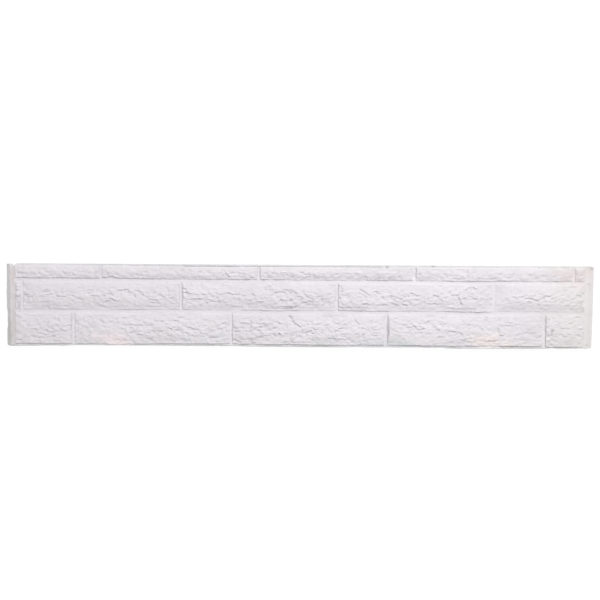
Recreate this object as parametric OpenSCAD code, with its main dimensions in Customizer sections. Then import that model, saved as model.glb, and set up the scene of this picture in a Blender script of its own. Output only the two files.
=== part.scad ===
// Concrete fence panel: one precast plate with three courses of split-faced
// stones in running bond, plain margins at both ends and a plain back.
// The plate lies on its back with the stones up. X runs along the plate,
// Y runs from its bottom edge to its top edge, and the origin is at the
// middle of the back.

/* [Plate] */
// Overall length, end to end
panel_l = 1840; // [1200:10:2400]
// Overall height, as the plate stands in a fence
panel_h = 260; // [225:1:340]
// Overall thickness, from the back to the highest stone
panel_t = 48; // [38:1:70]
// Chamfer along the face's two long edges
edge_chamfer = 3; // [1:0.5:3.5]

/* [Ends] */
// Plain margin at each end, which stands in the groove of a post
margin_w = 32; // [24:1:60]
// Width of the bevel that thins each end
bevel_w = 20; // [4:1:22]
// Thickness that the bevel takes off each end
bevel_d = 11; // [2:1:20]

/* [Courses] */
// Rim left above the top course
top_rim = 6; // [4:0.5:12]
// Rim left below the bottom course
bottom_rim = 8; // [4:0.5:12]
// Height of the narrow top course
top_course_h = 40.5; // [28:0.5:60]
// Height of the middle course
middle_course_h = 86.5; // [60:0.5:110]
// Width of the joints between stones
joint_w = 10; // [6:0.5:14]
// Length of a whole stone
stone_l = 480; // [240:1:700]
// Middle of the first joint in the top course, from the left end
top_first_joint = 301.5; // [50:0.5:600]
// Middle of the first joint in the middle course, from the left end
middle_first_joint = 55.5; // [50:0.5:600]
// Middle of the first joint in the bottom course, from the left end
bottom_first_joint = 214.5; // [50:0.5:600]

/* [Stone faces] */
// Height of each stone's highest spot above the joints
relief = 13; // [8:0.5:18]
// Height of the face along the broken ledge, as a share of the relief
crown_share = 0.8; // [0.6:0.05:1]
// Height of a stone's lower edge above the joints
lower_arris = 4; // [3:0.5:6]
// Height of a stone's upper edge above the joints
upper_arris = 3; // [2:0.5:6]
// Height of a stone's ends above the joints
end_arris = 4.5; // [2.5:0.5:7]
// How far a flank leans in from the joint to the arris
flank_lean = 1.5; // [1:0.25:3]
// Part of a stone's height over which its face turns down to the lower edge
turn_share = 0.3; // [0.15:0.05:0.4]
// Place of the broken ledge, as a share of the stone's height
ledge_share = 0.52; // [0.35:0.01:0.65]
// How far the ledge wanders up and down, as a share of the stone's height
ledge_wave = 0.13; // [0:0.01:0.2]
// Drop of the face below the ledge
ledge_drop = 2.5; // [0:0.25:4]
// Depth of the roughness below the ledge
roughness = 2; // [0:0.25:3]
// Depth of the chips along a stone's lower edge
chip_depth = 3; // [0:0.25:3]
// Length of a facet on the stones
facet_l = 13; // [10:1:40]
// Height of a facet on the stones
facet_h = 10; // [8:1:30]
// Number that picks one pattern of splits
pattern = 5; // [1:1:99]

/* [Hidden] */

// Level of the joints and the margins
bed_z = panel_t - relief;
// How deep the stones are rooted in the plate
root = 1;
// Distance over which a face falls to a stone's end
end_run = 26;
// Length of one wave of the ledge
ledge_run = 55;
// Share of the roughness that is left above the ledge
calm = 0.35;
// Share of a facet by which its corners may stray
stray = 0.28;
// Lowest that a face may lie above the joints
least_face = 1.2;
// Length along a stone for each chip in its lower edge
chip_spacing = 95;
// Shortest piece of stone worth a joint of its own
least_stone = 8;

bottom_course_h = panel_h - top_rim - top_course_h - middle_course_h - 2 * joint_w - bottom_rim;
bottom_y = bottom_rim - panel_h / 2;
middle_y = bottom_y + bottom_course_h + joint_w;
top_y = middle_y + middle_course_h + joint_w;

function mix(a, b, t) = a + (b - a) * t;
function clamp(v, low, high) = min(high, max(low, v));
function ease(t) = let (c = clamp(t, 0, 1)) c * c * (3 - 2 * c);

// A value between the four nearest random numbers of a lattice with rows of the given length
function blend(values, row, x, y) =
    let (
        i = floor(x),
        j = floor(y),
        s = ease(x - i),
        t = ease(y - j),
        k = j * row + i
    )
    mix(mix(values[k], values[k + 1], s), mix(values[k + row], values[k + row + 1], s), t);

// Joints of a course: the middle of each, from the left end
function joints(first) = [
    for (x = first; x < panel_l - margin_w - joint_w / 2 - least_stone; x = x + stone_l + joint_w)
        if (x > margin_w + joint_w / 2 + least_stone) x
];

// Height of a split face above the joints, before it is fitted to the relief. The upper part
// slopes up smoothly to a broken ledge. Below it the face goes on in rough facets and then
// turns down to the lower edge.
function face_height(x, y, l, h, waves, rough, row, chips) =
    let (
        crest = relief * crown_share,
        ledge = h * (ledge_share + ledge_wave * blend(waves, 0, x / ledge_run, 0)),
        upper = mix(upper_arris, crest, sin(90 * clamp((h - y) / (h - ledge), 0, 1))),
        lower = mix(lower_arris, crest - ledge_drop, sin(90 * clamp(y / h / turn_share, 0, 1))),
        crown = y > ledge ? upper : lower,
        ended = mix(end_arris, crown, ease(min(x, l - x) / end_run)),
        grain = roughness * blend(rough, row, x / (2 * facet_l), y / (2 * facet_h)),
        bites = [for (c = chips) max(0, 1 - pow((x - c[0]) / c[1], 2) - pow(y / (c[1] * 0.6), 2))],
        bite = chip_depth * max(bites)
    )
    max(least_face, ended + grain * (y > ledge ? calm : 1) - bite);

// One stone on the outline l by h, with its lower left corner at the origin
module split_stone(l, h, s) {
    nu = max(2, round(l / facet_l));
    nv = max(3, round(h / facet_h));
    row = ceil(l / facet_l / 2) + 2;
    waves = rands(-1, 1, ceil(l / ledge_run) + 2, s);
    rough = rands(-1, 1, row * (ceil(h / facet_h / 2) + 2), s + 1);
    drift = rands(-stray, stray, 2 * (nu + 1) * (nv + 1), s + 2);
    chip_n = max(1, floor(l / chip_spacing));
    chip_at = rands(0, l, chip_n, s + 3);
    chip_r = rands(h / 6, h / 3, chip_n, s + 4);
    chips = [for (c = [0 : chip_n - 1]) [chip_at[c], chip_r[c]]];
    face = [
        for (i = [0 : nu])
            for (j = [0 : nv])
                let (
                    k = 2 * (i * (nv + 1) + j),
                    u = i + (i > 0 && i < nu ? drift[k] : 0),
                    v = j + (j > 0 && j < nv ? drift[k + 1] : 0),
                    x = mix(flank_lean, l - flank_lean, u / nu),
                    y = mix(flank_lean, h - flank_lean, v / nv)
                )
                [x, y, face_height(x, y, l, h, waves, rough, row, chips)]
    ];
    fit = relief / max([for (p = face) p[2]]);
    fitted_face = [for (p = face) [p[0], p[1], p[2] * fit]];
    // Corners of the grid round its edge, anticlockwise from the lower left
    rim = concat(
        [for (i = [0 : nu - 1]) [i, 0]],
        [for (j = [0 : nv - 1]) [nu, j]],
        [for (i = [nu : -1 : 1]) [i, nv]],
        [for (j = [nv : -1 : 1]) [0, j]]
    );
    foot = [for (r = rim) [l * r[0] / nu, h * r[1] / nv, -root]];
    n = len(rim);
    first = len(face);
    middle = first + n;
    tops = [for (r = rim) r[0] * (nv + 1) + r[1]];
    face_triangles = [
        for (i = [0 : nu - 1])
            for (j = [0 : nv - 1])
                let (
                    a = i * (nv + 1) + j,
                    b = a + nv + 1
                )
                each drift[2 * a] > 0
                    ? [[a, a + 1, b + 1], [a, b + 1, b]]
                    : [[a, a + 1, b], [b, a + 1, b + 1]]
    ];
    flank_triangles = [
        for (k = [0 : n - 1])
            let (next = (k + 1) % n)
            each [
                [tops[k], tops[next], first + next],
                [tops[k], first + next, first + k],
                [first + k, first + next, middle]
            ]
    ];
    polyhedron(
        points = concat(fitted_face, foot, [[l / 2, h / 2, -root]]),
        faces = concat(face_triangles, flank_triangles)
    );
}

// A course of stones between the margins, parted at its joints
module course(y, h, first_joint, s) {
    parted = joints(first_joint);
    starts = concat([margin_w], [for (x = parted) x + joint_w / 2]);
    stops = concat([for (x = parted) x - joint_w / 2], [panel_l - margin_w]);
    for (k = [0 : len(starts) - 1])
        translate([starts[k] - panel_l / 2, y, bed_z])
            split_stone(stops[k] - starts[k], h, s + 10 * k);
}

// The plate behind the stones: its cross section with chamfered long edges,
// thinned by a bevel at each end
module plate() {
    half_l = panel_l / 2;
    half_h = panel_h / 2;
    intersection() {
        translate([-half_l, 0, 0])
            rotate([90, 0, 90])
                linear_extrude(panel_l)
                    polygon([
                        [-half_h, 0],
                        [half_h, 0],
                        [half_h, bed_z - edge_chamfer],
                        [half_h - edge_chamfer, bed_z],
                        [edge_chamfer - half_h, bed_z],
                        [-half_h, bed_z - edge_chamfer]
                    ]);
        translate([0, half_h + 1, 0])
            rotate([90, 0, 0])
                linear_extrude(panel_h + 2)
                    polygon([
                        [-half_l, 0],
                        [half_l, 0],
                        [half_l, bed_z - bevel_d],
                        [half_l - bevel_w, bed_z],
                        [bevel_w - half_l, bed_z],
                        [-half_l, bed_z - bevel_d]
                    ]);
    }
}

module panel() {
    color([0.885, 0.868, 0.885])
        union() {
            plate();
            course(bottom_y, bottom_course_h, bottom_first_joint, pattern);
            course(middle_y, middle_course_h, middle_first_joint, pattern + 1000);
            course(top_y, top_course_h, top_first_joint, pattern + 2000);
        }
}

panel();
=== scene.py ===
"""A pale concrete fence panel: one cast plate with three courses of split-faced stones.

It lies on its floated back with the stones up. Relief is worked out in millimetres, with
x from the plate's left end, y from its bottom edge and z from its back, and the mesh is
built from that in metres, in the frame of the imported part.
"""
import math
from collections import namedtuple

import bpy
import numpy as np
from mathutils import Matrix, Vector


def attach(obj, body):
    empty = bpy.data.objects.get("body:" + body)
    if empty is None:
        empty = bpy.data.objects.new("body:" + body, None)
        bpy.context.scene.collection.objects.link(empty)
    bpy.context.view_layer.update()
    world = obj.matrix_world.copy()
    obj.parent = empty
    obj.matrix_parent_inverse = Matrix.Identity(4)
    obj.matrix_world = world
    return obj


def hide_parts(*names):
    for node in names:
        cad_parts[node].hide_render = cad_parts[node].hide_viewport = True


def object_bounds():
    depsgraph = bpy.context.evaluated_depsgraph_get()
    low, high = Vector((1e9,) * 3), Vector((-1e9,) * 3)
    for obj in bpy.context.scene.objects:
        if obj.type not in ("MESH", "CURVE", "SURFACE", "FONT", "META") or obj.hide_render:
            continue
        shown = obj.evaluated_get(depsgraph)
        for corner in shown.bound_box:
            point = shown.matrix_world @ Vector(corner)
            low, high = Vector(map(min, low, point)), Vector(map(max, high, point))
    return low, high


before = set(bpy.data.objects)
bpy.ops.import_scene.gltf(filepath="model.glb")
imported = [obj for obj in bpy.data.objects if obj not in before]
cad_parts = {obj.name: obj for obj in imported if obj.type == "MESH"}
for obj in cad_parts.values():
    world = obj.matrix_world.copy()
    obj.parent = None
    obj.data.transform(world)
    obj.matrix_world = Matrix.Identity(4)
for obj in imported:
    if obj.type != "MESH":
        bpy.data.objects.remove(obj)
cad_low, cad_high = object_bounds()

# ---------------------------------------------------------------- the plate's measures

MM = 0.001
LENGTH, HEIGHT, THICKNESS = ((cad_high[k] - cad_low[k]) / MM for k in range(3))
RELIEF = 13.0  # the highest spot above the joints
BED = THICKNESS - RELIEF  # level of the joints and the margins
SUNK = 0.3  # the cast face lies this much lower, so that its unevenness has room
SPARE = 0.05  # what stays free above the highest crown
LEFT_MARGIN = RIGHT_MARGIN = 32.0  # plain strips at the ends
LEFT_BEVEL_W, RIGHT_BEVEL_W, BEVEL_D = 16.0, 20.0, 11.0  # bevels that thin the ends
SWELL, SWELL_FROM, SWELL_RUN = 1.5, 12.0, 6.0  # the left margin's height over the joints, and its slope
TOP_CHAMFER, BOTTOM_CHAMFER = 0.7, 1.4  # along the face's long edges
TOP_RIM, BOTTOM_RIM = 6.0, 8.0
LIP_FROM, LIP_RISE, LIP_FADE = 254.0, 1.4, 20.0  # y where a lip starts, its slope, and its ends
WORN_REACH = 12.0  # the worn ends push the mesh inwards over this distance
LIFT_FADE = 26.0  # and a lifted foot over this one
MARGIN_FADE = 20.0  # and a worn top edge over this one, beside the ends
JOINT = 10.0  # width of the joints
STONE_L = 480.0  # length of a whole stone
ROW, COLUMN = 2.0, 2.9  # the mesh's spacing on the face
EDGE_RINGS = (0.66, 0.33, 0.06)  # heights of the rings down the edges, as shares
BACK_STEP = 3  # the back keeps every third row and column
SHARPEST = math.radians(48)  # faces that meet at a larger angle show a crisp arris
HAIR, ENDLESS = 1e-6, 1e6  # for rounding errors, and for noise that changes one way only

LOWER_LEAN, LEFT_LEAN, RIGHT_LEAN, UPPER_LEAN = 1.2, 1.8, 0.8, 1.2  # how far each flank leans in
LOWER_FLANK, UPPER_FLANK, END_FLANK = 6.0, 3.4, 5.6  # how high it rises over that
UPPER_ARRIS, ARRIS_ROUND = 4.0, 0.8  # a stone's upper arris, and how much it rounds up
SOFT_FROM = 9.5  # higher spots are pressed down towards the full relief
STONE_FROM = 0.6  # what rises more than this has the stones' finish
END_RUN = 16.0  # a face falls over at least this distance to a joint
CALM_RUN = 0.16  # share of a stone's height over which its split grows finer

LEDGE_REACH = 36.0  # how far from a ledge it is felt
LEDGE_STEP, LEDGE_ENDS = 3.2, 7.0  # width of the drop, and how short it dies out at its ends
SCARP, APRON, BROW = 4.2, 13.0, 5.0  # how far its steep foot, its slope and its lip run
LEDGE_PLOT, PIT_PLOT = 420, 700  # area of stone for each strewn ledge, and for each pit

# How strongly each kind of split shows on the stones
THICK_LAYERS, THIN_LAYERS, LARGE_CHIPS, SMALL_CHIPS, CREASES = 0.40, 0.27, 0.66, 0.43, 1.05
GRIT, SWELLS, FOOT_ROLL = 0.3, 0.35, 0.55

# Of each course: the joints are how far each one's middle is from its even place, and its
# width; crest is where the stones are highest, as a share of their height; crown is how
# high; and above calm_from, a share too, the split is finer.
Course = namedtuple("Course", "name foot height first_joint joints crest crown calm_from seed")
Stone = namedtuple("Stone", "course origin left right foot head marks arrises seed")

TOP_H, MIDDLE_H = 40.5, 86.5
BOTTOM_H = HEIGHT - TOP_RIM - TOP_H - MIDDLE_H - 2 * JOINT - BOTTOM_RIM
MIDDLE_FOOT = BOTTOM_RIM + BOTTOM_H + JOINT
TOP_FOOT = MIDDLE_FOOT + MIDDLE_H + JOINT
COURSES = (
    Course(
        "bottom", BOTTOM_RIM, BOTTOM_H, 214.5, ((0, 10), (3.5, 8), (-2.5, 10), (0, 10)),
        crest=0.50, crown=7.5, calm_from=0.80, seed=100,
    ),
    Course(
        "middle", MIDDLE_FOOT, MIDDLE_H, 55.5, ((-2, 9), (5.5, 7.5), (2.5, 9), (1, 9)),
        crest=0.48, crown=7.3, calm_from=0.72, seed=200,
    ),
    Course(
        "top", TOP_FOOT, TOP_H, 301.5, ((0, 9), (2.5, 8), (-3, 9), (1.5, 9.5)),
        crest=0.50, crown=6.6, calm_from=0.64, seed=300,
    ),
)

# What each stone shows, in millimetres from its own even lower left corner.
#   ledges: how far the face drops, then the points that the ledge runs through. The face
#           drops on the right-hand side of the way from the first point to the last.
#   pits:   depth, middle and radius of small hollows
#   knobs:  height, middle and half sizes of proud spots
#   foot:   places along the lower edge, with its height above the joint and its lift
#   coarse: how many times as coarse the split is as elsewhere, with the middle and half
#           sizes of the patch
MARKS = {}
MARKS["bottom", 0] = dict(
    ledges=(
        (1.4, 5,88, 20,85), (1.5, 28,72, 40,69, 48,64), (1.8, 54,51, 65,48, 74,43), (2.8, 156,59, 178,59),
        (1.6, 110,50, 128,50), (2.6, 114,27, 127,26), (1.6, 84,24, 92,24), (1.9, 84,31, 105,30, 113,36),
        (1.9, 149,43, 163,42), (2.6, 7,14, 21,14), (1.4, 60,10, 78,10), (2.0, 91,44, 99,47),
        (1.3, 40,89, 60,88, 84,86), (1.6, 174,92, 175,15),
    ),
    pits=(
        (2.4, 38,56, 4), (2.4, 51,56, 3), (1.8, 83,48, 3), (1.8, 45,36, 4), (1.6, 54,42, 3),
        (2.2, 105,66, 3), (1.6, 101,58, 3), (3.2, 137,73, 5), (2.6, 128,57, 5), (2.8, 143,43, 5),
        (2.2, 59,22, 4), (2.2, 74,20, 4),
    ),
    knobs=((1.4, 27,60, 3,6), (1.6, 122,17, 5,4), (1.2, 91,36, 5,4), (1.2, 111,43, 8,3)),
    foot=(
        (0, 3.6, 1.2), (28, 3.2, 1.2), (75, 3.2, 0.7), (100, 3.6, 0.3), (125, 3.8, 0.8), (150, 4, 1.6),
        (177, 2.4, 1.5),
    ),
    coarse=((0.6, 10,50, 26,60),),
)
MARKS["bottom", 1] = dict(
    ledges=(
        (1.6, 0,74, 12,74), (1.4, 12,74, 12,55), (1.4, 29,71, 41,71), (2.2, 41,64, 51,62),
        (1.8, 35,53, 43,51), (1.8, 53,54, 63,54), (1.9, 75,78, 84,74, 94,67), (1.8, 104,71, 112,72, 121,73),
        (1.5, 39,86, 56,87), (2.1, 147,84, 166,84), (1.6, 165,84, 175,85, 190,92),
        (1.8, 142,62, 165,62, 181,63), (2.5, 179,63, 190,61, 205,62, 216,63), (1.6, 142,50, 160,51),
        (2.5, 171,36, 182,41, 191,44), (2.7, 191,36, 202,32, 216,31), (1.4, 168,54, 185,53),
        (2.5, 221,40, 230,38, 239,38), (2.2, 221,62, 241,62), (1.4, 165,28, 185,28), (1.8, 221,19, 241,19),
        (1.4, 152,14, 158,18), (1.4, 29,11, 41,11), (1.4, 20,18, 35,18), (1.6, 249,76, 263,76),
        (2.3, 266,73, 277,73), (1.4, 287,76, 301,76), (2.5, 308,76, 326,76), (2.5, 319,86, 341,87),
        (1.4, 317,98, 340,98), (1.7, 284,45, 291,45), (2.3, 296,50, 304,54, 313,56), (2.1, 307,43, 316,38),
        (1.9, 317,33, 326,28), (2.6, 349,54, 365,54, 372,51, 380,48, 389,46), (1.4, 395,47, 410,47),
        (1.7, 344,38, 356,38), (1.7, 367,29, 381,26), (1.4, 394,26, 409,26), (2.8, 416,24, 440,25, 452,24),
        (2.1, 442,50, 466,50), (2.2, 464,56, 474,56), (2.5, 454,67, 476,69), (1.4, 400,80, 420,80),
        (1.5, 474,86, 480,86), (1.7, 242,20, 256,20), (1.9, 344,12, 361,18), (1.7, 475,18, 480,18),
    ),
    pits=(
        (2.0, 92,54, 4), (1.8, 114,83, 3), (2.4, 130,80, 4), (2.2, 200,75, 4), (1.8, 194,50, 3),
        (2.4, 243,40, 4), (1.6, 235,12, 4), (1.4, 13,12, 4), (1.8, 44,27, 3), (2.2, 268,39, 4),
        (2.4, 290,51, 4), (2.6, 303,47, 4), (3.4, 320,44, 5), (1.8, 331,37, 4), (1.8, 290,26, 4),
        (1.6, 344,58, 4), (2.0, 445,56, 4), (2.8, 469,69, 4),
    ),
    knobs=(
        (1.2, 145,73, 18,3), (2.0, 228,31, 8,4), (2.0, 245,27, 7,4), (1.8, 290,40, 7,4), (1.4, 330,92, 8,4),
        (1.4, 459,57, 5,3), (0.8, 80,95, 30,5),
    ),
    foot=(
        (0, 1.8, 1), (35, 1.2, 1.1), (50, 2, 1.5), (65, 1.4, 1), (100, 0.9, -0.2), (120, 1.2, -0.8),
        (165, 1.8, -0.4), (200, 2.6, 0.1), (212, 3.2, 1), (230, 3.2, 1.4), (270, 3.4, 2.4), (300, 3.6, 2.8),
        (350, 3.6, 2.6), (395, 4, 3.2), (410, 4.6, 3), (425, 4, 2.8), (455, 4.4, 3.2), (468, 2, 3.5),
        (480, 2.5, 3.6),
    ),
    coarse=((0.6, 110,60, 60,40), (0.5, 70,20, 70,18), (1.3, 300,45, 60,20), (1.3, 460,65, 25,20)),
)
MARKS["bottom", 2] = dict(
    ledges=(
        (2.7, 3,56, 10,56, 21,54), (2.6, 9,47, 16,43, 27,44), (3.4, 25,71, 37,71),
        (2.2, 36,70, 50,68, 56,64), (1.6, 30,80, 40,85, 60,84), (1.7, 40,56, 50,54, 60,52),
        (2.4, 61,82, 63,66, 58,48), (2.0, 64,51, 80,48, 99,45), (2.0, 79,70, 90,66, 100,68),
        (2.2, 99,67, 104,64, 115,68, 131,67), (2.0, 81,40, 101,40), (1.9, 136,75, 145,74, 150,70, 158,63),
        (2.1, 127,38, 136,36), (2.5, 131,33, 143,29), (3.4, 146,41, 155,36), (1.7, 164,38, 174,38),
        (2.3, 5,20, 15,17, 22,12, 33,11), (2.3, 32,18, 45,18), (1.9, 47,24, 55,19, 71,19),
        (2.4, 84,27, 100,30, 118,31), (3.0, 61,8, 77,8),
        (3.8, 176,95, 184,92, 190,79, 197,72, 205,66, 214,60, 222,56),
        (2.0, 180,98, 190,89, 197,79, 206,71), (3.0, 225,39, 235,42, 243,45, 251,51),
        (2.5, 235,76, 250,76, 255,74), (1.8, 235,66, 246,66), (2.7, 255,48, 262,52, 268,52, 276,47),
        (1.8, 249,39, 271,39), (1.7, 204,32, 216,32), (2.7, 299,23, 316,23), (2.4, 319,23, 329,23),
        (2.2, 334,23, 346,23), (1.9, 317,78, 325,75, 329,70), (2.4, 325,51, 325,36),
        (3.4, 324,44, 332,50, 338,55, 351,57), (1.9, 353,55, 361,55), (2.2, 349,66, 361,66),
        (1.4, 341,74, 341,67), (3.2, 384,86, 388,78, 393,74, 398,70, 402,65), (1.7, 386,96, 386,85),
        (3.0, 385,35, 393,39, 401,42), (2.0, 401,45, 408,60), (2.1, 403,38, 416,39), (1.9, 407,56, 419,56),
        (1.9, 439,53, 461,53), (1.8, 432,48, 440,35), (2.0, 447,33, 459,33), (2.2, 155,10, 171,10),
        (1.7, 184,11, 255,10),
    ),
    pits=(
        (2.4, 65,69, 4), (2.4, 92,78, 4), (2.6, 92,56, 4), (2.6, 59,41, 5), (2.4, 115,49, 4),
        (2.0, 128,61, 4), (2.2, 75,18, 4), (1.8, 80,24, 3), (1.6, 96,24, 4), (1.8, 228,60, 4),
        (1.8, 214,28, 4), (2.6, 254,15, 4), (1.8, 293,14, 4), (1.8, 290,35, 4), (1.4, 292,88, 5),
        (1.4, 307,88, 5), (2.4, 353,29, 4), (2.8, 367,19, 5), (2.8, 378,12, 4), (2.2, 413,25, 4),
        (2.2, 412,16, 4), (1.6, 355,17, 4), (2.4, 440,33, 4), (1.6, 420,51, 4), (1.2, 460,20, 5),
    ),
    knobs=(
        (1.6, 92,62, 4,3), (1.6, 90,52, 12,3), (1.4, 20,37, 5,5), (1.6, 128,27, 4,4), (1.4, 238,38, 6,4),
        (1.4, 228,54, 4,3), (1.6, 265,46, 5,3), (1.4, 268,70, 5,4), (2.0, 348,40, 8,4), (1.4, 42,64, 6,3),
    ),
    foot=(
        (0, 1.6, 3), (25, 1.4, 2.5), (33, 3.2, 2.3), (50, 2.8, 2.3), (58, 1.8, 1.8), (90, 1.8, 1.2),
        (100, 3.8, 2), (145, 4.8, 2), (165, 3.2, 3), (185, 2.4, 3), (200, 4.4, 2.3), (230, 4.6, 2.3),
        (250, 3.6, 2), (275, 3.8, 1.8), (320, 3.8, 1.8), (345, 3, 1.2), (362, 2.2, 1.3), (420, 2.2, 1.8),
        (438, 3.2, 2.2), (468, 3.4, 2.2), (480, 2.4, 2.6),
    ),
    coarse=(
        (1.5, 110,62, 60,26), (1.4, 60,88, 60,12), (1.6, 250,60, 50,25), (1.3, 330,50, 50,35),
        (1.2, 60,40, 60,20),
    ),
)
MARKS["bottom", 3] = dict(
    ledges=(
        (2.6, 14,86, 23,88, 31,86), (1.9, 35,65, 48,67, 61,65), (3.4, 58,62, 73,60), (2.8, 75,64, 89,63),
        (2.2, 88,63, 106,62), (1.8, 91,72, 99,70), (3.0, 90,53, 104,53, 114,56), (1.9, 93,43, 105,43),
        (2.8, 108,69, 117,75, 127,84), (2.5, 155,56, 163,50), (1.8, 147,53, 159,53), (1.8, 167,73, 183,73),
        (3.8, 185,48, 198,47, 212,48), (2.8, 212,48, 220,46, 226,41, 235,35),
        (2.0, 219,86, 228,84, 233,78, 235,64), (1.9, 164,41, 186,41), (2.1, 151,31, 165,30, 177,30),
        (2.3, 215,23, 235,22, 245,25, 261,28), (2.4, 234,17, 246,16, 260,14), (1.9, 137,7, 156,9),
        (3.4, 299,16, 312,18, 325,19, 338,17), (2.7, 307,93, 307,75), (1.9, 293,84, 306,84),
        (1.4, 282,91, 290,91), (2.8, 335,61, 342,60, 344,52, 347,42, 350,37, 361,36), (2.1, 360,67, 384,67),
        (1.8, 360,76, 384,76), (1.8, 429,44, 461,44), (2.0, 397,39, 408,40, 419,40), (1.7, 427,94, 446,94),
        (1.6, 471,94, 480,92), (1.6, 464,33, 471,36), (1.6, 337,8, 353,8), (1.4, 403,8, 415,8),
        (1.9, 180,95, 180,80), (1.4, 8,76, 12,71), (1.4, 29,95, 37,92),
    ),
    pits=(
        (2.4, 3,80, 4), (1.6, 145,60, 4), (2.4, 171,61, 4), (2.2, 162,68, 4), (2.4, 168,85, 4),
        (1.8, 190,31, 4), (1.6, 107,24, 4), (1.6, 120,23, 5), (1.8, 60,24, 4), (2.4, 303,60, 5),
        (1.6, 291,51, 4), (2.8, 345,82, 4), (1.6, 354,61, 4), (2.6, 432,45, 5), (2.0, 470,44, 4),
        (2.0, 472,60, 4), (1.6, 475,28, 4), (1.4, 385,58, 4), (1.6, 362,20, 4), (1.2, 425,10, 5),
        (1.6, 232,56, 3),
    ),
    knobs=(
        (1.3, 214,74, 24,16), (1.4, 197,54, 12,3), (1.4, 170,81, 8,3), (1.2, 108,58, 10,4),
        (1.4, 175,36, 6,3), (1.6, 472,12, 5,4), (1.2, 415,36, 5,3),
    ),
    foot=(
        (0, 2.2, 1.7), (45, 2.6, 2.1), (60, 5.6, 2.2), (90, 5.2, 1.8), (120, 4.8, 1.8), (180, 3.4, 0.8),
        (198, 2.4, 0), (232, 2, 0), (248, 3.6, 1.2), (272, 4.2, 1.4), (285, 1.8, 1.2), (340, 1.4, 0.8),
        (358, 5, 1.2), (380, 6, 1.6), (415, 6, 2), (428, 4.4, 1.4), (480, 3.6, 1.2),
    ),
    coarse=(
        (1.4, 90,62, 50,20), (0.5, 95,20, 120,22), (0.7, 300,40, 50,20), (0.6, 390,45, 80,40),
        (0.3, 213,74, 30,24),
    ),
)
MARKS["bottom", 4] = dict(
    ledges=(
        (1.7, 3,37, 16,37), (1.8, 3,60, 14,60), (1.7, 4,76, 14,76), (1.6, 7,13, 15,18), (1.4, 29,66, 42,73),
        (2.2, 44,59, 60,60, 76,58), (2.4, 67,75, 82,75), (2.6, 85,95, 107,95), (1.9, 53,33, 67,33),
        (1.9, 67,42, 76,39), (1.6, 93,37, 103,38, 111,33), (1.9, 105,58, 118,59),
    ),
    pits=(
        (2.6, 19,56, 3.4), (3.0, 20,50, 3.4), (3.0, 20,44, 3.4), (2.6, 19,38, 3.4), (1.6, 18,22, 4),
        (2.4, 18,5, 4), (1.8, 42,73, 4), (1.3, 92,26, 4), (1.1, 62,12, 5), (1.2, 66,5, 4),
    ),
    knobs=((3.0, 9,25, 5,5), (1.8, 9,48, 8,10), (1.2, 5,66, 4,5), (1.2, 8,91, 5,5), (1.2, 107,20, 5,10)),
    foot=((0, 2.4, 0.8), (12, 3, -0.8), (70, 3.2, -0.8), (85, 2.2, -0.8), (118, 1.8, -0.6)),
    coarse=((0.6, 80,50, 60,50), (0.5, 85,14, 50,18)),
)
MARKS["middle", 0] = dict(
    ledges=((2.8, 4,43, 11,40, 17,43), (1.8, 10,80, 9,52), (1.6, 13,38, 12,8)),
    pits=((2.0, 14,76, 4), (2.0, 8,56, 4), (1.8, 15,58, 3), (2.4, 10,4, 5)),
    knobs=((1.2, 7,73, 3,5), (1.4, 12,49, 3,4), (1.2, 10,26, 4,6)),
    foot=((0, 0.6, 0.8), (18, 0.8, 0.6)),
    coarse=((1.7, 9,43, 16,60),),
)
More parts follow.
